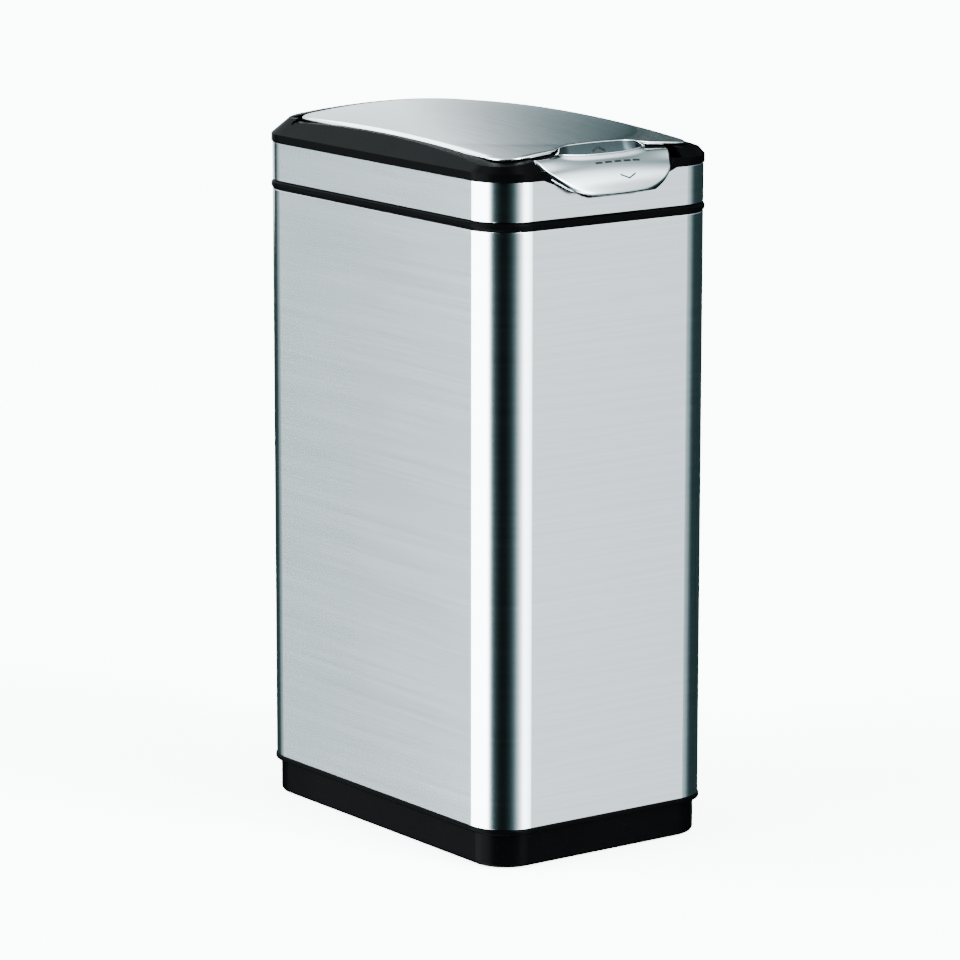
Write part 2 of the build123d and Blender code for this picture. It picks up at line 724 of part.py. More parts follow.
def make_tab_backing():
    """Black carrier behind the skin: a lining, ribs, the pivot tube and the catch finger."""
    lining = tab_profile(TAB_FLANGE + SEAT) & tab_front(-BACKING_PROUD)
    lining -= tab_profile(TAB_FLANGE + SEAT + WALL)
    lining -= dish(DISH_R + TAB_SHEET + 2 * SEAT)
    lining &= crown_block(LEDGE_DROP + TAB_CLEAR + TAB_FLANGE)
    stop = FRONT - BACKING_PROUD_OF_WALL
    keep = span(-SIDE, SIDE, LIP_Y, stop, LIP_Z - CUT_OVER, LID_TOP)
    inside = CHEEK_X - BACKING_CLEAR
    keep += span(-inside, inside, LIP_Y, TAB_REAR - OVERLAP, TAB_Z + BACKING_RISE, LID_TOP)
    lining &= keep
    hub = bar_x(-CHEEK_X + GAP, CHEEK_X - GAP, TAB_Y, TAB_Z, HUB_R)
    body = lining + hub
    rib = side_view(
        [
            (TAB_Y, TAB_Z - HUB_R),
            (TAB_Y + HUB_R * RIB_TURN_Y, TAB_Z + HUB_R * RIB_TURN_Z),
            (TAB_Y - BACKING_CLEAR, LID_TOP),
            (LIP_Y, LID_TOP),
            (LIP_Y, LIP_Z + BACKING_CLEAR),
            (stop, LIP_Z + BACKING_CLEAR),
            (stop, TAB_Z + BACKING_CLEAR),
            (FRONT + RIB_REACH, TAB_Z + BACKING_CLEAR),
        ],
        RIB_T / 2,
    )
    within = tab_profile(TAB_FLANGE + WALL / 2) & tab_front(TAB_SHEET)
    within -= dish(DISH_R + TAB_SHEET + 2 * SEAT)
    within &= crown_block(LEDGE_DROP + TAB_CLEAR + TAB_FLANGE)
    for x in RIB_X:
        for side in (1, -1):
            body += (Pos(side * x, 0, 0) * rib) & within
    pad = span(
        RIB_X[0],
        RIB_X[1],
        FRONT + SPRING_INSET - SPRING_R - SPRING_WIRE_R,
        FRONT + SPRING_INSET + SPRING_R + BACKING_CLEAR,
        TAB_Z - WELL_DROP,
        TAB_Z + WALL,
    )
    for piece in both_sides(pad):
        body += piece
    finger_z = TAB_Z - FINGER_DROP
    body += span(
        -FINGER_W / 2, FINGER_W / 2, TAB_Y - FINGER_T / 2, TAB_Y + FINGER_T / 2, finger_z, TAB_Z
    )
    return body - bar_x(-SIDE, SIDE, TAB_Y, TAB_Z, PIN_R + RUN_FIT)


def make_tab_pin():
    pin = bar_x(-CHEEK_X - CHEEK_T, CHEEK_X + CHEEK_T, TAB_Y, TAB_Z, PIN_R)
    return chamfer(pin.edges().filter_by(GeomType.CIRCLE), TAB_PIN_EDGE)


def spring_low():
    """Where the tab springs start, a spring's height under the pads."""
    return TAB_Z - WELL_DROP - SEAT - SPRING_H


def make_tab_springs():
    """Two compression springs under the tab, standing on the shelves."""
    coil = Helix((SPRING_H - 2 * SPRING_WIRE_R) / SPRING_TURNS, SPRING_H - 2 * SPRING_WIRE_R, SPRING_R)
    profile = Plane(origin=coil @ 0, z_dir=coil % 0) * Circle(SPRING_WIRE_R)
    spring = sweep(profile, coil, is_frenet=True)
    placed = Pos(SPRING_X, FRONT + SPRING_INSET, spring_low() + SPRING_WIRE_R) * spring
    return both_sides(placed)


# ---- catch ------------------------------------------------------------------------------------------
def catch_top():
    return TAB_Z - FINGER_DROP + CATCH_T / 2 + GAP


def catch_low():
    return catch_top() - CATCH_T


def cover_top():
    return catch_low() - GAP


def catch_front():
    return TAB_Y - FINGER_T - CATCH_LEAD


def nose_front():
    return strike_back() - STRIKE_BITE


def strike_back():
    return TAB_REAR + STRIKE_INSET


def arm_back():
    return nose_front() + NOSE_REACH + CATCH_ARM_T


def cover_places():
    x = CATCH_W / 2 + GAP + RIB_T + POST_R - POST_SUNK
    back = MOUTH_FRONT - WALL - POST_R + POST_SUNK
    return [(side * x, y) for side in (1, -1) for y in (catch_front(), back)]


def make_catch_slide():
    """Sliding catch: a plate that the tab's finger moves, and an arm with a hooked nose."""
    arm_front = nose_front() + NOSE_REACH
    top = TAB_Z + NOSE_RISE + NOSE_H
    slide = span(-CATCH_W / 2, CATCH_W / 2, catch_front(), arm_back(), catch_low(), catch_top())
    slide -= span(
        -FINGER_W / 2 - GAP,
        FINGER_W / 2 + GAP,
        TAB_Y - FINGER_T / 2 - GAP,
        TAB_Y + FINGER_T / 2 + GAP,
        catch_low(),
        catch_top(),
    )
    slide += span(-CATCH_ARM_W / 2, CATCH_ARM_W / 2, arm_front, arm_back(), catch_low(), top)
    nose = span(-CATCH_ARM_W / 2, CATCH_ARM_W / 2, nose_front(), arm_front, top - NOSE_H, top)
    edge = nose.edges().filter_by(Axis.X).sort_by(lambda e: e.center().Z - e.center().Y)[-1]
    return slide + chamfer(edge, NOSE_H * NOSE_BEVEL)


def make_catch_cover():
    """Plate screwed under the guides that keeps the catch in."""
    half = CATCH_W / 2 + COVER_MARGIN
    front = catch_front() - GUIDE_LEAD - GAP
    cover = span(-half, half, front, MOUTH_FRONT - WALL - GAP, cover_top() - COVER_T, cover_top())
    for x, y in cover_places():
        cover -= post(x, y, cover_top() - COVER_T, cover_top(), SMALL_SCREW_R + SEAT)
    return cover


def make_catch_screws():
    screws = []
    for x, y in cover_places():
        upright = screw_down(
            0, 0, 0, SMALL_SCREW_R, SMALL_SCREW_L, SMALL_SCREW_HEAD_R, SMALL_SCREW_HEAD_H
        )
        screws.append(Pos(x, y, cover_top() - COVER_T) * Rot(180, 0, 0) * upright)
    return screws


# ---- lid -------------------------------------------------------------------------------------------
def lid_prism(inset):
    """The lid's plan, with the shallow notch for the fingers, as an upright block."""
    high = LID_TOP + CUT_OVER
    block = oblong(
        LID_HALF - inset, LID_FRONT + inset, LID_BACK - inset, LID_CORNER_R - inset, SKIRT_LOW, high
    )
    reach = NOTCH_HALF + NOTCH_RUNOUT * NOTCH_DEPTH
    turn = NOTCH_HALF * NOTCH_TURN_X
    turn_y = LID_FRONT + NOTCH_DEPTH * NOTCH_TURN_Y + inset
    with BuildSketch(Plane.XY.offset(SKIRT_LOW)) as notch:
        with BuildLine():
            Spline(
                (-reach, LID_FRONT + inset),
                (-turn, turn_y),
                (0, LID_FRONT + NOTCH_DEPTH + inset),
                (turn, turn_y),
                (reach, LID_FRONT + inset),
                tangents=[(1, 0), (1, 0)],
            )
            Polyline(
                (reach, LID_FRONT + inset),
                (reach, LID_FRONT - CUT_OVER),
                (-reach, LID_FRONT - CUT_OVER),
                (-reach, LID_FRONT + inset),
            )
        make_face()
    return block - extrude(notch.sketch, high - SKIRT_LOW)


def make_lid_panel():
    """Brushed steel lid skin, crowned both ways, with its rim turned down."""
    panel = crown_block(0) & lid_prism(0)
    panel -= crown_block(LID_RIM)
    return panel - (crown_block(LID_SHEET) & lid_prism(LID_RIM_W))


def strike_front():
    return strike_back() - STRIKE_T - STRIKE_HOOK


def make_lid_pan():
    """Black liner under the lid, with the skirt that enters the mouth and the hinge arms."""
    pan_back = MOUTH_BACK + WALL + PAN_TAIL
    under = crown_block(LID_SHEET + SEAT) - crown_block(LID_SHEET + SEAT + PAN_T)
    plan = lid_prism(PAN_MARGIN) & span(-SIDE, SIDE, FRONT, pan_back, SKIRT_LOW, LID_TOP)
    pan = under & plan
    clear = PAN_SKIRT_CLEAR
    low = lid_height(0, MOUTH_FRONT) - PAN_SKIRT_H
    skirt = oblong(
        MOUTH_HALF - clear, MOUTH_FRONT + clear, MOUTH_BACK - clear, MOUTH_R - clear, low, LID_TOP
    )
    inner = clear + WALL
    skirt -= oblong(
        MOUTH_HALF - inner, MOUTH_FRONT + inner, MOUTH_BACK - inner, MOUTH_R - inner, low, LID_TOP
    )
    pan += skirt & crown_block(LID_SHEET + SEAT)
    cap = crown_block(LID_SHEET + SEAT)
    x = EAR_X + EAR_T + GAP
    arm = bar_x(x, x + EAR_T, HINGE_Y, HINGE_Z, HUB_R)
    arm += span(x, x + EAR_T, MOUTH_BACK - clear - WALL, HINGE_Y, HINGE_Z - HUB_R, HINGE_Z + HUB_R)
    arm += span(x, x + EAR_T, MOUTH_BACK - clear - WALL, pan_back, HINGE_Z, LID_TOP)
    arm &= cap
    for piece in both_sides(arm):
        pan += piece
    pan -= both_sides(buffer_post(GAP))
    return pan - bar_x(-SIDE, SIDE, HINGE_Y, HINGE_Z, PIN_R + RUN_FIT)


def make_lid_strike():
    """Hook under the lid's front that the catch holds."""
    drop = LID_SHEET + SEAT + PAN_T + SEAT
    foot_low = TAB_Z + NOSE_RISE - GAP - STRIKE_FOOT_H
    half = CATCH_ARM_W / 2 - STRIKE_SIDE_CLEAR
    front = strike_front()
    stem = span(-half, half, front, front + STRIKE_T, foot_low, LID_TOP)
    foot = span(-half, half, front, strike_back(), foot_low, foot_low + STRIKE_FOOT_H)
    edge = foot.edges().filter_by(Axis.X).sort_by(lambda e: e.center().Y - e.center().Z)[-1]
    base = span(-half, half, front, front + STRIKE_BASE_L, SLOPE_LOW, LID_TOP)
    base -= crown_block(drop + STRIKE_BASE_T)
    return ((stem + base) & crown_block(drop)) + chamfer(edge, STRIKE_FOOT_H * STRIKE_BEVEL)


def buffer_post(clear):
    """Upright post where the left buffer stands, wider all round by clear."""
    return post(-BUFFER_X, LID_FRONT + BUFFER_INSET, SLOPE_LOW, LID_TOP, BUFFER_R + clear)


def make_lid_buffers():
    """Two rubber buffers on the head's ledge, sunk in it, that the closed lid rests on."""
    pad = buffer_post(0) & crown_block(LID_SHEET + GAP)
    return both_sides(pad - crown_block(LEDGE_DROP + BUFFER_SUNK))


# ---- bucket ------------------------------------------------------------------------------------------
def bucket_form(thickness, low, high):
    foot = Plane.XY.offset(low) * outline(-(BUCKET_FOOT_MARGIN + thickness))
    top = Plane.XY.offset(high) * outline(-(BUCKET_TOP_MARGIN + thickness))
    return loft([foot, top], ruled=True)


def make_inner_bucket():
    bucket = bucket_form(0, BUCKET_LOW, BUCKET_HIGH)
    flange = -(BUCKET_TOP_MARGIN - FLANGE_W)
    bucket += slab(flange, BUCKET_HIGH - FLANGE_T, BUCKET_HIGH)
    bucket += tube(flange, flange - BUCKET_T, BUCKET_HIGH - FLANGE_LIP, BUCKET_HIGH)
    bucket -= bucket_form(BUCKET_T, BUCKET_LOW + BUCKET_FLOOR, BUCKET_HIGH)
    inner = SIDE - BUCKET_TOP_MARGIN - BUCKET_T
    eye = bar_x(inner - BAIL_EYE_T, inner + BUCKET_T / 2, 0, BAIL_Z, BAIL_EYE_R)
    eye += span(
        inner - BAIL_EYE_T, inner + BUCKET_T / 2, -BAIL_EYE_R, BAIL_EYE_R, BAIL_Z - 3 * BAIL_EYE_R, BAIL_Z
    )
    for piece in both_sides(eye):
        bucket += piece
    return bucket - bar_x(-SIDE, SIDE, 0, BAIL_Z, BAIL_WIRE_R + RUN_FIT)


def bail_path():
    """Centre line of the wire handle, lying back on the bucket's flange."""
    wall = SIDE - BUCKET_TOP_MARGIN
    end = wall - BUCKET_T - BAIL_EYE_T - BAIL_END_PROUD
    arm = wall + BAIL_BEND_R + GAP
    back = BACK - BAIL_BACK_INSET
    points = [
        (-end, 0, BAIL_Z),
        (-arm, 0, BAIL_Z),
        (-arm, back, BAIL_Z),
        (arm, back, BAIL_Z),
        (arm, 0, BAIL_Z),
        (end, 0, BAIL_Z),
    ]
    return FilletPolyline(*points, radius=[BAIL_BEND_R, BAIL_CORNER_R, BAIL_CORNER_R, BAIL_BEND_R])


def make_bucket_bail():
    path = bail_path()
    profile = Plane(origin=path @ 0, z_dir=path % 0) * Circle(BAIL_WIRE_R)
    return sweep(profile, path)


def make_bail_grip():
    back = BACK - BAIL_BACK_INSET
    grip = bar_x(-GRIP_L / 2, GRIP_L / 2, back, BAIL_Z, GRIP_R)
    grip = fillet(grip.edges().filter_by(GeomType.CIRCLE), GRIP_EDGE_R)
    return grip - bar_x(-GRIP_L, GRIP_L, back, BAIL_Z, BAIL_WIRE_R + RUN_FIT)


# ---- write every piece --------------------------------------------------------------------------------
PIECES = {
    "foot_ring": make_foot_ring,
    "base_plinth": make_base_plinth,
    "floor_plate": make_floor_plate,
    "base_screws": make_base_screws,
    "body_shell": make_body_shell,
    "body_rim": make_body_rim,
    "collar_band": make_collar_band,
    "head_bezel": make_head_bezel,
    "hinge_pin": make_hinge_pin,
    "lid_springs": make_lid_springs,
    "lid_buffers": make_lid_buffers,
    "catch_cover": make_catch_cover,
    "catch_screws": make_catch_screws,
    "tab_pivot_pin": make_tab_pin,
    "tab_springs": make_tab_springs,
    "push_tab": make_push_tab,
    "tab_backing": make_tab_backing,
    "catch_slide": make_catch_slide,
    "lid_panel": make_lid_panel,
    "lid_pan": make_lid_pan,
    "lid_strike": make_lid_strike,
    "inner_bucket": make_inner_bucket,
    "bucket_bail": make_bucket_bail,
    "bail_grip": make_bail_grip,
}


def main():
    os.makedirs("parts", exist_ok=True)
    for name, make in PIECES.items():
        piece = make()
        if isinstance(piece, list):
            piece = Compound(children=[part for one in piece for part in one.solids()])
        export_step(piece, f"parts/{name}.step")


if __name__ == "__main__":
    main()
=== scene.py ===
from math import cos, pi, radians, sin, sqrt

import bmesh
import bpy
from mathutils import Matrix, Vector
from mathutils.geometry import interpolate_bezier


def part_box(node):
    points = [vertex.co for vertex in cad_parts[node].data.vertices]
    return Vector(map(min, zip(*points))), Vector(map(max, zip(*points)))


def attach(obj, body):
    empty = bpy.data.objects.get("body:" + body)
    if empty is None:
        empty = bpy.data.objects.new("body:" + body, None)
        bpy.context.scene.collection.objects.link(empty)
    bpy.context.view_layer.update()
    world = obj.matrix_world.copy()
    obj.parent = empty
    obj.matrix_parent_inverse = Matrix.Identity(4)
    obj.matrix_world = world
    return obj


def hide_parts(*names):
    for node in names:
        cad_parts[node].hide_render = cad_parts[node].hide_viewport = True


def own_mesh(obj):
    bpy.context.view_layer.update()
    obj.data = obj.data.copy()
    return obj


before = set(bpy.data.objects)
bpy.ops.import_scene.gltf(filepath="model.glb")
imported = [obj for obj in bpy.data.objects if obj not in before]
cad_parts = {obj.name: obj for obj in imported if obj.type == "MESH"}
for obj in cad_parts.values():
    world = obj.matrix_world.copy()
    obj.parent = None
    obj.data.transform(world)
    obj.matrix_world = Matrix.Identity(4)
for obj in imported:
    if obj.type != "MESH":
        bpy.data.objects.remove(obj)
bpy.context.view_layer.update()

bl_info = {
    "name": "Push-top kitchen bin",
    "version": (1, 0, 0),
    "blender": (4, 5, 0),
    "location": "View3D > Sidebar > Bin",
    "description": "Dresses a slim push-top kitchen bin: steel, mouldings, lid, push tab, bucket and stage",
    "category": "Object",
}

BOXES = {node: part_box(node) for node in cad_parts}

# How finely the pieces are divided.
ROLL_STEPS, MARK_ROLL_STEPS = 6, 3
CORNER_STEPS, NOTCH_STEPS = 10, 48
LID_ROWS, LID_COLUMNS = 60, 40
PROFILE_POINTS = 25
SIDE_STEPS, SMILE_STEPS, KNEE_POINTS = 30, 16, 12
SCOOP_ROWS, FACE_ROWS, TAB_COLUMNS = 44, 56, 156
CUP_COLUMNS, CUP_ROWS = 120, 30
MARK_COLUMNS, MARK_ROWS = 12, 6
BEAD_STEPS, BEAD_ROUNDNESS = 60, 3
MICRON = 0.000001
CUT_MERGE = 1e-7
CUP_MERGE = 0.00005

# The tab's curves.
REAR_SLOPE = 0.12  # fall of the profile at the tab's rear edge
LIP_LEAN = 0.03  # lean of the profile at its foot
CROWN_FADE = 0.6  # share of the profile over which the lid's crown fades out
BOW_START = 0.7  # where the bow across begins, as a share of the way to the scoop's crest
REAR_MARGIN = 2  # how far the blank runs on behind the rear edge, in radii of the rolled edge
SWEEP_POWER = 2.5
MEET_START = 0.84  # share of the scoop's half width past which its rim bends to meet its crest
CUP_END_POWER, CUP_RISE_POWER, DENT_POWER = 4, 2.5, 8
CUP_REACH = 0.9999  # the cup stops just short of its ends, where it has no length
CUP_SHEET = 0.5  # the cup's thickness as a share of the tab's sheet
BEAD_SUNK = 0.6  # how far the bead sits in the rim, in radii
CUP_WALL_NORMAL = Vector((0, -1, 0.3)).normalized()

# Brushed steel.
FINE_LINES, WIDE_LINES = 1100.0, 260.0  # lines per metre
FINE_SHARE, WIDE_SHARE = 0.45, 0.55
GRAIN_DARK, GRAIN_LIGHT = 0.055, 0.035
GRAIN_MATT = (-0.008, 0.010)  # change of roughness from line to line
CLOUD_MATT = (-0.004, 0.005)  # change of roughness over wide patches
GRAIN_DEPTH = 0.000004
ANISOTROPY = 0.65
BRUSHED = {  # along is the grain's axis, 0 for X, 1 for Y, or None for level grain
    "sleeve_steel": {"along": None, "tangent_axis": "Z", "turn": 0.25},
    "lid_steel": {"along": 1, "tangent_axis": "Y", "turn": 0.0, "contrast": 2.5},
    "tab_steel": {"along": 0, "tangent_axis": "X", "turn": 0.0},
    "scoop_steel_painted_shade": {"along": 0, "tangent_axis": "X", "turn": 0.0},
}

# Other finishes. Sizes of noise are in patches per metre.
MOULDED = {
    "mark_black": {"grain_depth": 0.00001, "grain_size": 1500.0, "ior": 1.2},
    "black_moulding": {"grain_depth": 0.00002, "grain_size": 1600.0, "ior": 1.05},
    "bucket_plastic": {"grain_depth": 0.00006, "grain_size": 1100.0},
    "grip_plastic": {"grain_depth": 0.00008, "grain_size": 900.0},
    "acetal": {"grain_depth": 0.00002, "grain_size": 1500.0},
}
MATT_SPREAD = 0.08  # how much a moulding's roughness varies
PLATE_MATT = (-0.08, 0.1)  # change of a plated wire's roughness from patch to patch
PLATE_DEPTH, PORE_DEPTH = 0.00002, 0.00008
PORE_MATT = (0.65, 0.85)
FLOW_TINT, BLOTCH_TINT, DUST_TINT = (0.9, 1.15), (0.82, 1.1), (1.0, 2.2)
NOISE_SPAN = (0.3, 0.7)  # noise hardly leaves this range
FLOW_SPAN, SCUFF_SPAN, DUST_SPAN = (0.35, 0.65), (0.58, 0.75), (0.4, 0.75)
EVENLY, FLOW_STRETCH, SCUFF_STRETCH = (1, 1, 1), (1, 1, 0.4), (1, 1, 6)
LID_MATTER = 0.02  # how much rougher the lid is than the body
TAB_LIGHTER, GRIP_DARKER, WIRE_DARKER = 1.05, 0.4, 0.85

# Stage.
TOP_FADE, FOOT_FADE = 28, 12  # degrees over which a part of the surroundings fades upwards and downwards
DARKEST_STOPS = -6.0
CARD_RAISE = 0.7  # how far the card's middle is above the lid, in halves of the card
SENSOR_WIDTH = 36.0
CLIP_END = 200.0


def corner(node, which):
    """The lowest (0) or highest (1) corner of a construction node."""
    return BOXES[node][which]


# ---- settings that a user would change ----
def length(name, description, default):
    """A property that holds a length in metres."""
    return bpy.props.FloatProperty(name=name, description=description, unit="LENGTH", default=default)


def share_of(name, description, default):
    """A property that holds a share of 0 to 1."""
    return bpy.props.FloatProperty(
        name=name, description=description, subtype="FACTOR", default=default, min=0, max=1
    )


def colour(name, description, default):
    """A property that holds a colour."""
    return bpy.props.FloatVectorProperty(
        name=name, description=description, subtype="COLOR", default=default, min=0, max=1
    )


def angle(name, description, degrees):
    """A property that holds an angle, given in degrees."""
    return bpy.props.FloatProperty(
        name=name, description=description, subtype="ANGLE", default=radians(degrees)
    )


def light_level(name, description, default):
    """A property that holds how strong a light is."""
    return bpy.props.FloatProperty(
        name=name, description=description, subtype="FACTOR", default=default, min=0
    )


class BinColours(bpy.types.PropertyGroup):
    """Colours and finishes of the bin's materials."""

    steel: colour("Steel", "Brushed steel of the body and the lid", (0.565, 0.585, 0.60))
    steel_roughness: share_of("Steel roughness", "How matt the brushed steel is", 0.17)
    tab_roughness: share_of("Tab roughness", "How matt the push tab is", 0.15)
    # Painted shade: the steel inside the scoop is given a near-black, teal colour that stands for the shade
    # and dark reflections in the hollow, not for a stain.
    scoop: colour("Scoop", "Stained steel inside the finger scoop", (0.022, 0.031, 0.033))
    scoop_roughness: share_of("Scoop roughness", "How matt the finger scoop is", 0.38)
    marks: colour("Marks", "Arrows and grip dashes", (0.004, 0.005, 0.005))
    moulding: colour("Black moulding", "Plinth, band and head", (0.0004, 0.0004, 0.00045))
    bucket: colour("Bucket", "Lift-out bucket", (0.016, 0.017, 0.018))
    zinc: colour("Zinc plate", "Pins, springs and screws", (0.56, 0.57, 0.58))
    acetal: colour("Acetal", "Sliding catch", (0.74, 0.73, 0.69))
    rubber: colour("Rubber", "Foot ring and buffers", (0.02, 0.02, 0.021))


class BinSizes(bpy.types.PropertyGroup):
    """Sizes that the pieces are made from."""

    crown_radius: length("Crown", "Radius of the lid across", 0.780)
    arch_radius: length("Arch", "Radius of the lid from front to back", 2.080)
    arch_centre: length("Arch top", "Where the lid is highest, along Y", 0.025)
    lid_corner: length("Lid corner", "Radius of the lid's corners", 0.022)
    lid_rim: length("Lid rim", "How far the lid's edge turns down", 0.0022)
    lid_edge: length("Lid edge", "Radius of the lid's rolled edge", 0.0009)
    sheet: length("Sheet", "Thickness of the lid's sheet", 0.0009)
    notch_half: length("Notch", "Half of the finger notch's width", 0.044)
    notch_flat: length("Notch flat", "Half of the notch's straight middle", 0.030)
    notch_depth: length("Notch depth", "How far the notch runs into the lid", 0.010)
    tab_halves: bpy.props.FloatVectorProperty(
        name="Tab halves", description="Half of the tab's width at its top, middle and foot",
        unit="LENGTH", default=(0.078, 0.066, 0.040),
    )
    tab_middle: length("Tab middle", "Height above the foot where the middle is", 0.0214)
    tab_smile: length("Tab smile", "How far the foot bows down", 0.0014)
    tab_tail: length("Tab tail", "How far the profile runs on below the foot", 0.0046)
    tab_nose: bpy.props.FloatVectorProperty(
        name="Tab nose", description="The bend of the lip, out from the body and above the foot",
        size=2, unit="LENGTH", default=(0.0105, 0.0163),
    )
    tab_brow: bpy.props.FloatVectorProperty(
        name="Tab brow", description="The start of the lip, in from the body and above the foot",
        size=2, unit="LENGTH", default=(0.009, 0.0319),
    )
    tab_edge: length("Tab edge", "Radius of the tab's rolled edge", 0.0034)
    tab_flange: length("Tab flange", "Depth of the return round the tab", 0.0044)
    tab_sheet: length("Tab sheet", "Thickness of the tab's sheet", 0.0010)
    tab_corner: length("Tab corner", "How far the foot's corners are rounded", 0.009)
    tab_bow: length("Tab bow", "Radius of the face across", 0.550)
    coil_keep: share_of("Spring length", "Share of its length that a pressed tab spring keeps", 0.86)
    scoop_half: length("Scoop", "Half of the finger scoop's width", 0.050)
    scoop_sweep: length("Scoop sweep", "How far the crest's ends sweep back", 0.0075)
    scoop_run: length("Scoop run", "From the tab's rear edge to the scoop's crest", 0.0192)
    scoop_fall: length("Crest", "Width of the raised crest in front", 0.005)
    scoop_depth: length("Scoop depth", "Depth of the scoop behind its crest", 0.0040)
    scoop_lip: length("Scoop lip", "How far the crest stands up", 0.0016)
    scoop_gap: length("Scoop gap", "From the lid's notch to the scoop's face", 0.0016)
    scoop_rim: length("Scoop rim", "How far the scoop's rim stands above the lid", 0.0003)
    scoop_wall: share_of("Scoop wall", "Share of the scoop that is its rear wall", 0.5)
    scoop_lean: length("Scoop lean", "How far the rear wall leans forward", 0.007)
    mark_edge: length("Mark edge", "Radius of the marks' edges", 0.0002)
    mark_proud: length("Mark height", "How far the marks stand up", 0.0004)
    mark_sunk: length("Mark foot", "How far the marks reach into the sheet", 0.0004)
    arrow_half: length("Arrow", "Half of an arrow's width", 0.0085)
    arrow_rise: length("Arrow rise", "How far the press arrow's tip stands out", 0.004)
    mark_stroke: length("Arrow stroke", "Width of the press arrow's line", 0.0016)
    lift_half: length("Lift arrow width", "Half of the lift arrow's width", 0.0068)
    lift_rise: length("Lift arrow rise", "How far the lift arrow's tip stands out", 0.0018)
    lift_stroke: length("Lift arrow stroke", "Width of the lift arrow's line", 0.0010)
    dash_half: length("Dash width", "Half of a grip dash's width", 0.0037)
    dash_stroke: length("Dash stroke", "Length of a grip dash down the tab", 0.0021)
    arrow_across: length("Arrow place", "Where the press arrow is, along X", 0.011)
    press_run: length("Press arrow", "From the tab's rear edge to the press arrow", 0.044)
    lift_across: length("Lift arrow place", "Where the lift arrow is, along X", 0.003)
    lift_run: length("Lift arrow", "How far down the scoop's wall the lift arrow is", 0.0052)
    dash_count: bpy.props.IntProperty(name="Dashes", description="Number of grip dashes", default=5)
    dash_start: length("First dash", "Middle of the first grip dash, along X", -0.013)
    dash_pitch: length("Dash pitch", "From one grip dash to the next", 0.0105)
    dash_run: length("Dash run", "From the tab's rear edge to the grip dashes", 0.0285)
    scoop_bead: length("Scoop bead", "Radius of the bead round the scoop", 0.0005)


class BinStage(bpy.types.PropertyGroup):
    """Camera, floor and surroundings."""

    camera: bpy.props.FloatVectorProperty(
        name="Camera", description="Where the camera stands", subtype="TRANSLATION", unit="LENGTH",
        default=(-2.63112, -3.58168, 1.22647),
    )
    heading: angle("Heading", "Turn of the camera about Z", -36.249)
    pitch: angle("Pitch", "How far the camera looks down", 11.588)
    roll: angle("Roll", "Turn about the line of sight", 0.045)
    lens: bpy.props.FloatProperty(
        name="Lens", description="Focal length", subtype="DISTANCE_CAMERA", default=183.47
    )
    wash: light_level("Wash", "Level of the even light", 2.2)
    light: bpy.props.FloatVectorProperty(
        name="Light", description="Tint of the light", subtype="COLOR", default=(0.90, 1.0, 1.04), min=0
    )
    shade: bpy.props.FloatVectorProperty(
        name="Shade", description="Tint of the darkest surroundings", subtype="COLOR",
        default=(0.35, 1.0, 1.05), min=0,
    )
    backdrop: light_level("Backdrop", "Level of the plain white behind the bin", 12.0)
    floor_glow: light_level("Floor glow", "Light that the floor gives off", 6.0)
    card_distance: length("Card distance", "From the bin to the card that the lid mirrors", 1.0)
    card_half: length("Card", "Half of the card's side", 0.9)
    card_fade: length("Card fade", "Half of the width over which the card darkens", 0.20)
    card_shift: length("Card shift", "How far to the right the card darkens", 0.10)
    card_stops: bpy.props.FloatVectorProperty(
        name="Card light", description="Stops of light at the card's left and right", size=2,
        default=(1.25, -5.0),
    )
    floor_half: length("Floor", "Half of the floor's side", 30.0)


# ---- node helpers ----
def add_node(tree, kind, inputs=None, **settings):
    """Adds a shader node; inputs maps socket names or numbers to values or to other nodes' outputs."""
    made = tree.nodes.new(kind)
    for name, value in settings.items():
        setattr(made, name, value)
    for key, value in (inputs or {}).items():
        if isinstance(value, bpy.types.NodeSocket):
            tree.links.new(value, made.inputs[key])
        else:
            made.inputs[key].default_value = value
    return made


def start_material(name, paint, roughness, metallic=0.0):
    """A new material with its tree, its shader and the object's own coordinates."""
    material = bpy.data.materials.new(f"bin_{name}")
    material.use_nodes = True
    material.diffuse_color = (*paint, 1)
    tree = material.node_tree
    shader = tree.nodes["Principled BSDF"]
    shader.inputs["Base Color"].default_value = (*paint, 1)
    shader.inputs["Roughness"].default_value = roughness
    shader.inputs["Metallic"].default_value = metallic
    place = add_node(tree, "ShaderNodeTexCoord").outputs["Object"]
    return material, tree, shader, place


def noise(tree, place, scale, size=1.0, detail=3.0, rough=0.55):
    """Noise over stretched coordinates: scale holds the stretch along each axis."""
    mapped = add_node(tree, "ShaderNodeMapping", {"Vector": place, "Scale": scale})
    made = add_node(
        tree, "ShaderNodeTexNoise",
        {"Vector": mapped.outputs[0], "Scale": size, "Detail": detail, "Roughness": rough},
    )
    return made.outputs["Fac"]


def ramp(tree, value, low, high, out_low, out_high):
    """Maps value from low..high to out_low..out_high."""
    made = add_node(
        tree, "ShaderNodeMapRange",
        {"Value": value, "From Min": low, "From Max": high, "To Min": out_low, "To Max": out_high},
    )
    return made.outputs["Result"]


def maths(tree, operation, a, b):
    """One step of arithmetic on numbers or sockets."""
    return add_node(tree, "ShaderNodeMath", {0: a, 1: b}, operation=operation).outputs[0]


def tint(tree, shade, dark, light):
    """A colour between dark and light by a shade of 0 to 1."""
    made = add_node(
        tree, "ShaderNodeMix", {"Factor": shade, "A": (*dark, 1), "B": (*light, 1)},
        data_type="RGBA",
    )
    return made.outputs["Result"]


def bump(tree, height, depth, strength):
    """A bump of the given depth in metres."""
    inputs = {"Height": height, "Distance": depth, "Strength": strength}
    return add_node(tree, "ShaderNodeBump", inputs).outputs["Normal"]


def scaled(paint, factor):
    """A colour made lighter or darker by a factor."""
    return tuple(min(1.0, part * factor) for part in paint)


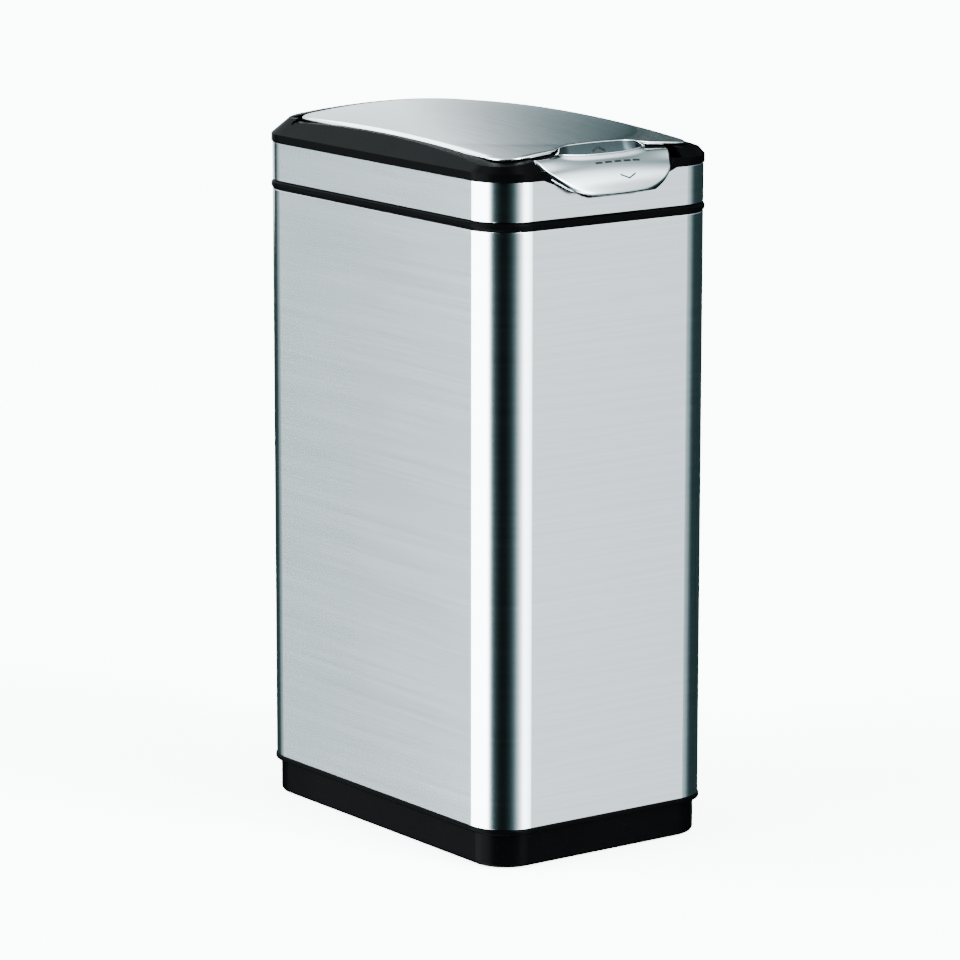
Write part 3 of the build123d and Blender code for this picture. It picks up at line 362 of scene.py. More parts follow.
def varied(tree, shade, paint, dark, light):
    """A colour times dark to times light, by a shade of 0 to 1."""
    return tint(tree, shade, scaled(paint, dark), scaled(paint, light))


def connect(tree, shader, paint, matt, relief):
    """Gives a shader its colour, its roughness and its bump."""
    for name, value in (("Base Color", paint), ("Roughness", matt), ("Normal", relief)):
        tree.links.new(value, shader.inputs[name])


# ---- materials ----
def brushed_steel(name, paint, roughness, along, tangent_axis, turn, stretch=60.0, contrast=1.0):
    """Steel ground in one direction."""
    material, tree, shader, place = start_material(name, paint, roughness, metallic=1.0)
    fine, wide = [FINE_LINES] * 3, [WIDE_LINES] * 3
    for axis in ([along] if along is not None else [0, 1]):
        fine[axis] /= stretch * 2
        wide[axis] /= stretch
    lines = noise(tree, place, fine, detail=2.0)
    bands = noise(tree, place, wide, detail=4.0)
    cloud = noise(tree, place, EVENLY, size=7.0, detail=2.0)
    fine_part = maths(tree, "MULTIPLY", lines, FINE_SHARE)
    wide_part = maths(tree, "MULTIPLY", bands, WIDE_SHARE)
    grain = maths(tree, "ADD", fine_part, wide_part)
    shade = ramp(tree, grain, *NOISE_SPAN, 0.0, 1.0)
    matt = ramp(tree, bands, *NOISE_SPAN, roughness + GRAIN_MATT[0], roughness + GRAIN_MATT[1])
    connect(
        tree, shader,
        varied(tree, shade, paint, 1 - GRAIN_DARK * contrast, 1 + GRAIN_LIGHT * contrast),
        maths(tree, "ADD", matt, ramp(tree, cloud, *NOISE_SPAN, *CLOUD_MATT)),
        bump(tree, grain, GRAIN_DEPTH, strength=0.2),
    )
    shader.inputs["Anisotropic"].default_value = ANISOTROPY
    shader.inputs["Anisotropic Rotation"].default_value = turn
    tangent = add_node(tree, "ShaderNodeTangent", direction_type="RADIAL", axis=tangent_axis)
    tree.links.new(tangent.outputs[0], shader.inputs["Tangent"])
    return material


def moulded(name, paint, roughness, grain_depth, grain_size, ior=1.46):
    """Injection-moulded plastic: a fine spark texture, faint flow and handling marks."""
    material, tree, shader, place = start_material(name, paint, roughness)
    spark = noise(tree, place, EVENLY, size=grain_size, rough=0.7)
    flow = noise(tree, place, FLOW_STRETCH, size=9.0)
    scuff = noise(tree, place, SCUFF_STRETCH, size=55.0, detail=5.0, rough=0.7)
    matt = ramp(tree, flow, *NOISE_SPAN, roughness - MATT_SPREAD / 2, roughness + MATT_SPREAD / 2)
    connect(
        tree, shader,
        varied(tree, ramp(tree, flow, *FLOW_SPAN, 0, 1), paint, *FLOW_TINT),
        maths(tree, "ADD", matt, ramp(tree, scuff, *SCUFF_SPAN, 0.0, MATT_SPREAD)),
        bump(tree, spark, grain_depth, strength=0.6),
    )
    shader.inputs["IOR"].default_value = ior
    return material


def plated(name, paint, roughness):
    """Zinc-plated wire and screws, with a faint drawn grain and blotches."""
    material, tree, shader, place = start_material(name, paint, roughness, metallic=1.0)
    blotch = noise(tree, place, EVENLY, size=180.0, detail=4.0)
    fine = noise(tree, place, EVENLY, size=2200.0, detail=2.0)
    connect(
        tree, shader,
        varied(tree, ramp(tree, blotch, *NOISE_SPAN, 0, 1), paint, *BLOTCH_TINT),
        ramp(tree, blotch, *NOISE_SPAN, roughness + PLATE_MATT[0], roughness + PLATE_MATT[1]),
        bump(tree, fine, PLATE_DEPTH, strength=0.3),
    )
    return material


def rubber(name, paint, roughness):
    """Soft black rubber, dusty in its pores."""
    material, tree, shader, place = start_material(name, paint, roughness)
    pores = noise(tree, place, EVENLY, size=900.0, detail=4.0, rough=0.7)
    dust = noise(tree, place, EVENLY, size=40.0, detail=5.0)
    connect(
        tree, shader,
        varied(tree, ramp(tree, dust, *DUST_SPAN, 0, 1), paint, *DUST_TINT),
        ramp(tree, pores, *NOISE_SPAN, *PORE_MATT),
        bump(tree, pores, PORE_DEPTH, strength=0.5),
    )
    shader.inputs["Specular IOR Level"].default_value = 0.3
    return material


FINISHES = {}


def material_of(name):
    """Makes each finish once and hands it out by name."""
    if name in FINISHES:
        return FINISHES[name]
    look = bpy.context.scene.bin_colours
    steel, bucket, zinc = tuple(look.steel), tuple(look.bucket), tuple(look.zinc)
    paint, roughness = {
        "sleeve_steel": (steel, look.steel_roughness),
        "lid_steel": (steel, look.steel_roughness + LID_MATTER),
        "tab_steel": (scaled(steel, TAB_LIGHTER), look.tab_roughness),
        # The scoop's steel takes the painted-shade colour, near black and teal.
        "scoop_steel_painted_shade": (tuple(look.scoop), look.scoop_roughness),
        "mark_black": (tuple(look.marks), 0.45),
        "black_moulding": (tuple(look.moulding), 0.30),
        "bucket_plastic": (bucket, 0.46),
        "grip_plastic": (scaled(bucket, GRIP_DARKER), 0.5),
        "acetal": (tuple(look.acetal), 0.38),
        "zinc_plate": (zinc, 0.34),
        "spring_wire": (scaled(zinc, WIRE_DARKER), 0.26),
        "rubber": (tuple(look.rubber), 0.75),
    }[name]
    if name in BRUSHED:
        made = brushed_steel(name, paint, roughness, **BRUSHED[name])
    elif name in MOULDED:
        made = moulded(name, paint, roughness, **MOULDED[name])
    elif name == "rubber":
        made = rubber(name, paint, roughness)
    else:
        made = plated(name, paint, roughness)
    FINISHES[name] = made
    return made


# The construction pieces of each group, with each one's finish and slot.
GROUPS = {
    "base": {
        "foot_ring": ("rubber", "rubber"),
        "base_plinth": ("black_moulding", "black_moulding"),
        "floor_plate": ("zinc_plate", "plain_steel"),
        "base_screws": ("zinc_plate", "plain_steel"),
    },
    "body": {
        "body_shell": ("sleeve_steel", "brushed_sleeve"),
        "body_rim": ("black_moulding", "black_moulding"),
    },
    "head": {
        "collar_band": ("sleeve_steel", "brushed_sleeve"),
        "head_bezel": ("black_moulding", "black_moulding"),
        "hinge_pin": ("zinc_plate", "plain_steel"),
        "lid_springs": ("spring_wire", "plain_steel"),
        "lid_buffers": ("rubber", "rubber"),
    },
    "lid": {
        "lid_panel": ("lid_steel", "brushed_lid"),
        "lid_pan": ("black_moulding", "black_moulding"),
        "lid_strike": ("acetal", "acetal"),
    },
    "tab": {
        "push_tab": ("tab_steel", "satin_tab"),
        "tab_backing": ("black_moulding", "black_moulding"),
        "tab_pivot_pin": ("zinc_plate", "plain_steel"),
        "tab_springs": ("spring_wire", "plain_steel"),
    },
    "catch": {
        "catch_slide": ("acetal", "acetal"),
        "catch_cover": ("black_moulding", "black_moulding"),
        "catch_screws": ("zinc_plate", "plain_steel"),
    },
    "bucket": {
        "inner_bucket": ("bucket_plastic", "bucket_plastic"),
        "bucket_bail": ("zinc_plate", "plain_steel"),
        "bail_grip": ("grip_plastic", "grip_plastic"),
    },
}


def dress_group(group):
    """Gives a group's construction pieces their finishes; their shapes stay as they are."""
    for node, (finish, slot) in GROUPS[group].items():
        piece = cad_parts[node]
        piece.data.materials.clear()
        piece.data.materials.append(material_of(finish))


# ---- shaping of sheet metal ----
def smooth(value):
    """0 below 0, 1 above 1 and an even S between."""
    value = max(0.0, min(1.0, value))
    return value * value * (3 - 2 * value)


def arc_through(start, middle, end):
    """Centre and radius of the circle through three points of a plane."""
    a, b, c = Vector(start), Vector(middle), Vector(end)
    ab, bc = b - a, c - b
    normal_a, normal_b = Vector((-ab.y, ab.x)), Vector((-bc.y, bc.x))
    gap = (b + c) / 2 - (a + b) / 2
    along = (gap.x * normal_b.y - gap.y * normal_b.x) / (normal_a.x * normal_b.y - normal_a.y * normal_b.x)
    centre = (a + b) / 2 + normal_a * along
    return centre, (a - centre).length


def blank(outline, edge_r, steps=ROLL_STEPS):
    """A flat sheet cut to an outline, its edge rolled down over edge_r. Gives the bmesh and its flat face."""
    bm = bmesh.new()
    face = bm.faces.new([bm.verts.new((x, y, -edge_r)) for x, y in outline])
    face.normal_update()
    if face.normal.z < 0:
        face.normal_flip()
    for step in range(steps):
        low, high = pi / 2 * step / steps, pi / 2 * (step + 1) / steps
        bmesh.ops.inset_region(
            bm, faces=[face], use_boundary=True, thickness=edge_r * (cos(low) - cos(high)),
            depth=edge_r * (sin(high) - sin(low)), use_even_offset=True,
        )
    return bm, face


def score(bm, faces, axis, places):
    """Cuts faces into strips at the given places along an axis."""
    normal = Vector((1, 0, 0)) if axis == 0 else Vector((0, 1, 0))
    done, rest = [], list(faces)
    for place in sorted(places):
        geometry = set(rest)
        for face in rest:
            geometry.update(face.edges)
            geometry.update(face.verts)
        cut = bmesh.ops.bisect_plane(
            bm, geom=list(geometry), dist=CUT_MERGE, plane_co=normal * place, plane_no=normal
        )
        parts = [each for each in cut["geom"] if isinstance(each, bmesh.types.BMFace)]
        rest = [face for face in parts if face.calc_center_median()[axis] > place]
        done += [face for face in parts if face.calc_center_median()[axis] <= place]
    return done + rest


def return_flange(bm, depth):
    """Turns the sheet's edge straight down by depth."""
    rim = [edge for edge in bm.edges if edge.is_boundary]
    made = bmesh.ops.extrude_edge_only(bm, edges=rim)
    low = [each for each in made["geom"] if isinstance(each, bmesh.types.BMVert)]
    bmesh.ops.translate(bm, verts=low, vec=(0, 0, -depth))


def face_outwards(bm):
    """Makes the faces agree, and turns them all over if together they look down or to the back."""
    bmesh.ops.recalc_face_normals(bm, faces=bm.faces)
    total = Vector()
    for face in bm.faces:
        total += face.normal * face.calc_area()
    if total.z < total.y:
        bmesh.ops.reverse_faces(bm, faces=bm.faces)


def new_object(bm, name):
    """Turns a bmesh into an object of the scene."""
    mesh = bpy.data.meshes.new(name)
    bm.to_mesh(mesh)
    bm.free()
    made = bpy.data.objects.new(name, mesh)
    bpy.context.scene.collection.objects.link(made)
    return made


def finish_piece(bm, name, finish, body, nodes=()):
    """Turns a bmesh into a finished piece that rides on a body and stands for nodes."""
    piece = new_object(bm, name)
    piece.data.shade_smooth()
    piece.data.materials.append(material_of(finish))
    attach(piece, body)
    if nodes:
        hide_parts(*nodes)
    return piece


def add_thickness(piece, sheet):
    """Gives a skin its thickness, inwards from the outer face."""
    made = piece.modifiers.new("sheet", "SOLIDIFY")
    made.thickness = sheet
    made.offset = -1.0
    made.use_even_offset = False


def crown(size, x, y):
    """Height of the lid's crowned surface."""
    across = size.crown_radius - sqrt(size.crown_radius**2 - x * x)
    behind = y - size.arch_centre
    along = size.arch_radius - sqrt(size.arch_radius**2 - behind * behind)
    return corner("lid_panel", 1).z - across - along


def rounded_plan(low, high, radius, steps=CORNER_STEPS):
    """Points of a rounded rectangle, anticlockwise from the right end of its front side."""
    points = []
    for centre_x, centre_y, start in (
        (high.x - radius, low.y + radius, -90),
        (high.x - radius, high.y - radius, 0),
        (low.x + radius, high.y - radius, 90),
        (low.x + radius, low.y + radius, 180),
    ):
        for step in range(steps + 1):
            angle = radians(start + 90 * step / steps)
            points.append((centre_x + radius * cos(angle), centre_y + radius * sin(angle)))
    return points


def even_steps(low, high, count):
    """The places inside low..high that cut it into count equal parts."""
    return [low + (high - low) * step / count for step in range(1, count)]


def make_lid_skin():
    """Crowned lid with the finger notch in its front edge and a rounded, turned-down rim."""
    size = bpy.context.scene.bin_sizes
    low, high = corner("lid_panel", 0), corner("lid_panel", 1)
    plan = rounded_plan(low, high, size.lid_corner)
    reach = notch_reach(size)
    for x in even_steps(-reach, reach, NOTCH_STEPS):
        plan.append((x, lid_front(size, x)))
    bm, top = blank(plan, size.lid_edge)
    strips = score(bm, [top], 1, even_steps(low.y, high.y, LID_ROWS))
    score(bm, strips, 0, even_steps(low.x, high.x, LID_COLUMNS))
    return_flange(bm, size.lid_rim - size.lid_edge)
    for vert in bm.verts:
        vert.co.z += crown(size, vert.co.x, vert.co.y)
    face_outwards(bm)
    piece = finish_piece(bm, "lid_skin", "lid_steel", "lid", ["lid_panel"])
    add_thickness(piece, size.sheet)


class TabShape:
    """The push tab's face: a profile bent in the YZ plane and the outline of its front."""

    def __init__(self, size):
        box_low, box_high = corner("push_tab", 0), corner("push_tab", 1)
        front = corner("body_shell", 0).y
        rear = Vector((box_high.y, box_high.z))
        nose = Vector((front - size.tab_nose[0], box_low.z + size.tab_nose[1]))
        brow = Vector((front + size.tab_brow[0], box_low.z + size.tab_brow[1]))
        lip = Vector((box_low.y, box_low.z - size.tab_tail))
        points = [rear, brow, nose, lip]
        tangents = [Vector((-1, -REAR_SLOPE)), nose - rear, lip - brow, Vector((LIP_LEAN, -1))]
        self.path = []
        for index in range(3):
            start, end = points[index], points[index + 1]
            third = (end - start).length / 3
            lead, trail = tangents[index].normalized() * third, tangents[index + 1].normalized() * third
            part = interpolate_bezier(start, start + lead, end - trail, end, PROFILE_POINTS)
            self.path += part[bool(index):]
        self.lengths = [0.0]
        for before, after in zip(self.path, self.path[1:]):
            self.lengths.append(self.lengths[-1] + (after - before).length)
        self.low = box_low.z
        self.size = size
        high = (size.tab_halves[0], box_high.z)
        middle = (size.tab_halves[1], self.low + size.tab_middle)
        foot = (size.tab_halves[2], self.low + size.tab_smile)
        self.centre, self.radius = arc_through(high, middle, foot)
        self.end = self.run_to(self.low + size.tab_smile)

    def at(self, run):
        """Point and outward normal of the profile after that run; it goes on straight at both ends."""
        index = 1
        while index < len(self.path) - 1 and self.lengths[index] < run:
            index += 1
        before, after = self.path[index - 1], self.path[index]
        share = (run - self.lengths[index - 1]) / (self.lengths[index] - self.lengths[index - 1])
        along = (after - before).normalized()
        return before + (after - before) * share, Vector((along.y, -along.x))

    def run_to(self, height):
        """Length of the profile down to a height."""
        for index, point in enumerate(self.path):
            if point.y < height:
                before = self.path[index - 1]
                share = (before.y - height) / (before.y - point.y)
                return self.lengths[index - 1] + share * (self.lengths[index] - self.lengths[index - 1])
        return self.lengths[-1]

    def half(self, run):
        """Half of the tab's width after a run down the profile."""
        height = self.at(max(0.0, run))[0].y
        rise = height - self.centre.y
        return self.centre.x + sqrt(max(0.0, self.radius**2 - rise * rise))

    def outline(self):
        """The flat outline, as (across, run). It starts behind the rear edge, where the sheet is trimmed."""
        start = -REAR_MARGIN * self.size.tab_edge
        foot = self.half(self.end)
        reach = self.size.tab_corner
        side = []
        for step in range(SIDE_STEPS + 1):
            run = start + (self.end - reach - start) * step / SIDE_STEPS
            side.append(Vector((self.half(run), run)))
        smile = []
        for x in reversed(even_steps(-foot + reach, foot - reach, SMILE_STEPS)):
            smile.append(Vector((x, self.end + self.size.tab_smile * (1 - (x / foot) ** 2))))
        knee = Vector((foot, self.end))
        lead, trail = (side[-1] + 2 * knee) / 3, (smile[0] + 2 * knee) / 3
        bend = interpolate_bezier(side[-1], lead, trail, smile[0], KNEE_POINTS)
        right = side + bend[1:-1]
        return right + smile + [Vector((-x, run)) for x, run in reversed(right)]

    def bed(self, across, run, lift):
        """Bends the flat point onto the tab, as it would be without the scoop."""
        size = self.size
        point, normal = self.at(run)
        fade = 1 - smooth(run / (self.end * CROWN_FADE))
        drop = size.crown_radius - sqrt(size.crown_radius**2 - across * across)
        bowed = smooth((run - size.scoop_run * BOW_START) / size.scoop_run)
        lift -= across * across / (2 * size.tab_bow) * bowed
        return Vector((across, point.x + normal.x * lift, point.y + normal.y * lift - drop * fade))

    def crest(self, across):
        """Front edge of the finger scoop: straight, and swept back at its ends."""
        size = self.size
        share = min(1.0, abs(across) / size.scoop_half)
        return self.bed(across, size.scoop_run - size.scoop_sweep * share**SWEEP_POWER, size.scoop_lip)

    def rim(self, across):
        """Rear edge of the finger scoop, just in front of the lid's notch; it meets the crest at its ends."""
        size = self.size
        share = min(1.0, abs(across) / size.scoop_half)
        y = lid_front(size, across) - size.scoop_gap
        rear = Vector((across, y, crown(size, across, y) + size.scoop_rim))
        return rear.lerp(self.crest(across), smooth((share - MEET_START) / (1 - MEET_START)))

    def scoop(self, across, share):
        """The scoop's surface: share 0 is its rear rim and 1 its front crest."""
        size = self.size
        rim, crest = self.rim(across), self.crest(across)
        end = sqrt(max(0.0, 1 - (abs(across) / size.scoop_half) ** CUP_END_POWER))
        floor = crest.z - size.scoop_depth * end
        lean = size.scoop_lean * end
        if share < size.scoop_wall:
            way = share / size.scoop_wall
            return Vector((across, rim.y - lean * way**2, rim.z + (floor - rim.z) * smooth(way)))
        way = (share - size.scoop_wall) / (1 - size.scoop_wall)
        start = rim.y - lean
        rise = (crest.z - floor) * way**CUP_RISE_POWER
        return Vector((across, start + (crest.y - start) * way, floor + rise))

    def place(self, across, run, lift):
        """Bends the flat point onto the tab, dented under the scoop."""
        size = self.size
        plain = self.bed(across, run, lift)
        if abs(across) >= size.scoop_half or lift < 0:
            return plain
        crest = self.crest(across)
        inside = 1 - (abs(across) / size.scoop_half) ** DENT_POWER
        if plain.y > crest.y:
            depth = min(1.0, (plain.y - crest.y) / (size.scoop_lip * 2))
            plain.z -= (size.scoop_depth + size.scoop_lip) * depth * inside
        elif plain.y > crest.y - size.scoop_fall:
            near = smooth(1 - (crest.y - plain.y) / size.scoop_fall)
            plain.z += size.scoop_lip * near * inside
        return plain


def notch_reach(size):
    """Half of the notch's whole width, with its sloping ends."""
    return 2 * size.notch_half - size.notch_flat


def lid_front(size, across):
    """Where the lid's front edge lies, with its notch."""
    depth = 1 - smooth((abs(across) - size.notch_flat) / (notch_reach(size) - size.notch_flat))
    return corner("lid_panel", 0).y + size.notch_depth * depth


def trim_rear(bm):
    """Cuts away what lies behind the tab's rear edge."""
    everything = bm.verts[:] + bm.edges[:] + bm.faces[:]
    bmesh.ops.bisect_plane(bm, geom=everything, plane_co=(0, 0, 0), plane_no=(0, 1, 0), clear_inner=True)


def make_tab_skin():
    """Push tab: one sheet with rolled edges, a return flange and the finger scoop against the lid's notch."""
    size = bpy.context.scene.bin_sizes
    shape = TabShape(size)
    bm, face = blank(shape.outline(), size.tab_edge)
    rows = even_steps(0, size.scoop_run, SCOOP_ROWS) + [size.scoop_run]
    rows += even_steps(size.scoop_run, shape.end, FACE_ROWS)
    strips = score(bm, [face], 1, rows)
    score(bm, strips, 0, even_steps(-size.tab_halves[0], size.tab_halves[0], TAB_COLUMNS))
    return_flange(bm, size.tab_flange - size.tab_edge)
    trim_rear(bm)
    for vert in bm.verts:
        across, run, lift = vert.co
        vert.co = shape.place(across, run, 0.0 if abs(lift) < MICRON else lift)
    face_outwards(bm)
    piece = finish_piece(bm, "tab_skin", "tab_steel", "tab", ["push_tab"])
    add_thickness(piece, size.tab_sheet)


def make_tab_coils():
    """The tab's two springs, copied from their construction node; they ride on the head."""
    bm = bmesh.new()
    bm.from_mesh(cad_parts["tab_springs"].data)
    bmesh.ops.remove_doubles(bm, verts=bm.verts, dist=MICRON)
    piece = finish_piece(bm, "tab_coils", "spring_wire", "head", ["tab_springs"])
    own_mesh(piece)


def make_scoop():
    """Pressed finger scoop between the tab's crest and the lid's notch, with a fine bead round its rim."""
    size = bpy.context.scene.bin_sizes
    shape = TabShape(size)
    bm = bmesh.new()
    bmesh.ops.create_grid(bm, x_segments=CUP_COLUMNS, y_segments=CUP_ROWS, size=1.0)
    for vert in bm.verts:
        across = size.scoop_half * sin(vert.co.x * pi / 2) * CUP_REACH
        vert.co = shape.scoop(across, (1 - vert.co.y) / 2)
    bmesh.ops.remove_doubles(bm, verts=bm.verts, dist=CUP_MERGE)
    face_outwards(bm)
    # The scoop wears the steel with painted shade.
    piece = finish_piece(bm, "scoop_cup", "scoop_steel_painted_shade", "tab")
    add_thickness(piece, size.tab_sheet * CUP_SHEET)
    make_bead(shape)


def make_bead(shape):
    """Fine bead round the scoop's rim."""
    size = shape.size
    line = bpy.data.curves.new("scoop_bead", "CURVE")
    line.dimensions = "3D"
    line.bevel_depth = size.scoop_bead
    line.bevel_resolution = BEAD_ROUNDNESS
    turns = [pi * step / BEAD_STEPS for step in range(BEAD_STEPS + 1)]
    loop = [shape.crest(-size.scoop_half * cos(turn)) for turn in turns]
    loop += [shape.rim(size.scoop_half * cos(turn)) for turn in turns[1:-1]]
    spline = line.splines.new("POLY")
    spline.points.add(len(loop) - 1)
    for point, place in zip(spline.points, loop):
        point.co = (place.x, place.y, place.z - size.scoop_bead * BEAD_SUNK, 1)
    spline.use_cyclic_u = True
    bead = bpy.data.objects.new("scoop_bead", line)
    bpy.context.scene.collection.objects.link(bead)
    line.materials.append(material_of("tab_steel"))
    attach(bead, "tab")


def make_mark(name, outline, place):
    """A small raised mark: a flat outline laid on a surface by place(across, run)."""
    size = bpy.context.scene.bin_sizes
    bm, face = blank(outline, size.mark_edge, MARK_ROLL_STEPS)
    low = Vector((min(x for x, y in outline), min(y for x, y in outline)))
    high = Vector((max(x for x, y in outline), max(y for x, y in outline)))
    strips = score(bm, [face], 0, even_steps(low.x, high.x, MARK_COLUMNS))
    score(bm, strips, 1, even_steps(low.y, high.y, MARK_ROWS))
    return_flange(bm, size.mark_sunk)
    for vert in bm.verts:
        across, run, lift = vert.co
        vert.co = place(across, run, lift + size.mark_proud)
    face_outwards(bm)
    finish_piece(bm, name, "mark_black", "tab")


def chevron(across, run, half, rise, stroke):
    """Outline of a bent bar whose tip points along the run by rise."""
    return [
        (across - half, run), (across, run + rise), (across + half, run),
        (across + half, run + stroke), (across, run + rise + stroke), (across - half, run + stroke),
    ]


def make_marks():
    """Arrows that show where to press and lift, and a row of plain grip dashes."""
    size = bpy.context.scene.bin_sizes
    shape = TabShape(size)
    press = chevron(size.arrow_across, size.press_run, size.arrow_half, size.arrow_rise, size.mark_stroke)
    make_mark("press_arrow", press, shape.place)

    def on_wall(across, run, lift):
        """Lays a flat point on the scoop's rear wall."""
        return shape.scoop(across, run / size.scoop_run) + CUP_WALL_NORMAL * lift

    lift = chevron(size.lift_across, size.lift_run, size.lift_half, -size.lift_rise, size.lift_stroke)
    make_mark("lift_arrow", lift, on_wall)
    for step in range(size.dash_count):
        middle = size.dash_start + size.dash_pitch * step
        left, right = middle - size.dash_half, middle + size.dash_half
        near, far = size.dash_run, size.dash_run + size.dash_stroke
        bar = [(left, near), (right, near), (right, far), (left, far)]
        make_mark(f"grip_dash_{step + 1}", bar, shape.place)


# ---- stage ----
# What the steel mirrors, as (azimuth from, azimuth to, fade before, fade after, stops of light, top of its
# upper fade, foot of its lower fade). Azimuths are in degrees: 0 is towards -Y, 90 towards +X, -90 towards -X.
SURROUNDINGS = {
    "left_softbox": (-138, -88, 4, 14, 3.2, 80, -200),
    "dark_aisle": (-50, -40, 34, 40, -8.5, 80, -200),
    "front_softbox": (12, 25, 12, 11, 2.4, 80, -200),
    "rear_drape": (68, 192, 26, 16, -5.4, 20, -200),
    "left_wash": (-152, -142, 8, 4, -0.75, 80, -200),
    "edge_light": (-182, -158, 6, 6, 2.2, 90, 12),
    "tab_light_low": (0, 20, 10, 30, 0.7, 90, 4),
    "tab_light_high": (10, 50, 20, 46, 1.5, 110, 24),
    "tab_shade": (104, 124, 34, 8, -1.7, 110, 14),
}


def card_mask(tree, azimuth, elevation, start, end, fade_before, fade_after, top, foot):
    """1 inside start..end and 0 beyond its fades; fades in with height above foot and out up to top."""
    middle = (start + end) / 2
    half = (end - start) / 2
    turn = maths(tree, "SUBTRACT", azimuth, radians(middle))
    turn = add_node(tree, "ShaderNodeMath", {0: turn, 1: pi, 2: -pi}, operation="WRAP").outputs[0]
    before = ramp(tree, turn, radians(-half - fade_before), radians(-half), 0.0, 1.0)
    after = ramp(tree, turn, radians(half), radians(half + fade_after), 1.0, 0.0)
    height = ramp(tree, elevation, radians(top - TOP_FADE), radians(top), 1.0, 0.0)
    rise = ramp(tree, elevation, radians(foot), radians(foot + FOOT_FADE), 0.0, 1.0)
    level, upright = maths(tree, "MINIMUM", before, after), maths(tree, "MINIMUM", height, rise)
    return maths(tree, "MULTIPLY", level, upright)


def make_world():
    """An even wash of light with the parts of SURROUNDINGS, and plain white behind the bin."""
    view = bpy.context.scene.bin_stage
    world = bpy.data.worlds.new("studio")
    world.use_nodes = True
    tree = world.node_tree
    ray = add_node(tree, "ShaderNodeTexCoord").outputs["Generated"]
    parts = add_node(tree, "ShaderNodeSeparateXYZ", {0: ray}).outputs
    azimuth = maths(tree, "ARCTAN2", parts["X"], maths(tree, "MULTIPLY", parts["Y"], -1.0))
    elevation = add_node(tree, "ShaderNodeMath", {0: parts["Z"]}, operation="ARCSINE").outputs[0]
    stops = None
    for start, end, before, after, gain, top, foot in SURROUNDINGS.values():
        mask = card_mask(tree, azimuth, elevation, start, end, before, after, top, foot)
        part = maths(tree, "MULTIPLY", mask, gain)
        stops = part if stops is None else maths(tree, "ADD", stops, part)
    level = maths(tree, "MULTIPLY", maths(tree, "POWER", 2.0, stops), view.wash)
    dark = ramp(tree, stops, DARKEST_STOPS, 0.0, 1.0, 0.0)
    background = tree.nodes["Background"]
    tree.links.new(tint(tree, dark, tuple(view.light), tuple(view.shade)), background.inputs["Color"])
    tree.links.new(level, background.inputs["Strength"])
    backdrop = add_node(tree, "ShaderNodeBackground", {"Color": (1, 1, 1, 1), "Strength": view.backdrop})
    seen = add_node(tree, "ShaderNodeLightPath").outputs["Is Camera Ray"]
    mix = add_node(tree, "ShaderNodeMixShader", {0: seen, 1: background.outputs[0], 2: backdrop.outputs[0]})
    tree.links.new(mix.outputs[0], tree.nodes["World Output"].inputs["Surface"])
    bpy.context.scene.world = world


def make_lid_card():
    """Tall soft card behind the bin that the lid mirrors: bright at one side and dark at the other."""
    view = bpy.context.scene.bin_stage
    bm = bmesh.new()
    bmesh.ops.create_grid(bm, x_segments=1, y_segments=1, size=view.card_half)
    card = new_object(bm, "lid_card")
    ahead = Vector((-sin(view.heading), cos(view.heading), 0))
    high = corner("lid_panel", 1).z + view.card_half * CARD_RAISE
    card.matrix_world = (
        Matrix.Translation(ahead * view.card_distance + Vector((0, 0, high)))
        @ Matrix.Rotation(view.heading, 4, "Z")
        @ Matrix.Rotation(radians(90), 4, "X")
    )
    material, tree, shader, place = start_material("card_light", (0, 0, 0), roughness=1.0)
    across = add_node(tree, "ShaderNodeSeparateXYZ", {0: place}).outputs["X"]
    start, end = view.card_shift - view.card_fade, view.card_shift + view.card_fade
    stops = ramp(tree, across, start, end, view.card_stops[0], view.card_stops[1])
    shader.inputs["Specular IOR Level"].default_value = 0.0
    dark = ramp(tree, stops, view.card_stops[1], 0.0, 1.0, 0.0)
    tree.links.new(tint(tree, dark, tuple(view.light), tuple(view.shade)), shader.inputs["Emission Color"])
    tree.links.new(maths(tree, "POWER", 2.0, stops), shader.inputs["Emission Strength"])
    card.data.materials.append(material)
    card.visible_camera = card.visible_diffuse = card.visible_shadow = card.visible_transmission = False


def make_floor():
    """Wide pale floor. The steel mirrors the surroundings instead of the floor, as over a light table."""
    view = bpy.context.scene.bin_stage
    bm = bmesh.new()
    bmesh.ops.create_grid(bm, x_segments=1, y_segments=1, size=view.floor_half)
    floor = new_object(bm, "floor")
    material, _, shader, _ = start_material("pale_floor", (0.9, 0.9, 0.9), roughness=0.9)
    shader.inputs["Specular IOR Level"].default_value = 0.0
    shader.inputs["Emission Color"].default_value = (1, 1, 1, 1)
    shader.inputs["Emission Strength"].default_value = view.floor_glow
    floor.data.materials.append(material)
    floor.visible_glossy = False


def make_camera():
    """The scene's camera."""
    view = bpy.context.scene.bin_stage
    data = bpy.data.cameras.new("camera")
    data.sensor_width = SENSOR_WIDTH
    data.lens = view.lens
    data.clip_end = CLIP_END
    camera = bpy.data.objects.new("camera", data)
    turn = Matrix.Rotation(view.heading, 4, "Z") @ Matrix.Rotation(radians(90) - view.pitch, 4, "X")
    camera.matrix_world = Matrix.Translation(view.camera) @ turn @ Matrix.Rotation(view.roll, 4, "Z")
    bpy.context.scene.collection.objects.link(camera)
    bpy.context.scene.camera = camera


# ---- operators and panel ----
class BIN_OT_stage(bpy.types.Operator):
    """Makes the floor, the surroundings and the camera"""

    bl_idname = "bin.make_stage"
    bl_label = "Stage"

    def execute(self, context):
        make_floor()
        make_lid_card()
        make_world()
        make_camera()
        return {"FINISHED"}


class BIN_OT_base(bpy.types.Operator):
    """Dresses the plinth, its foot ring and the screwed floor plate"""

    bl_idname = "bin.dress_base"
    bl_label = "Base"

    def execute(self, context):
        dress_group("base")
        return {"FINISHED"}


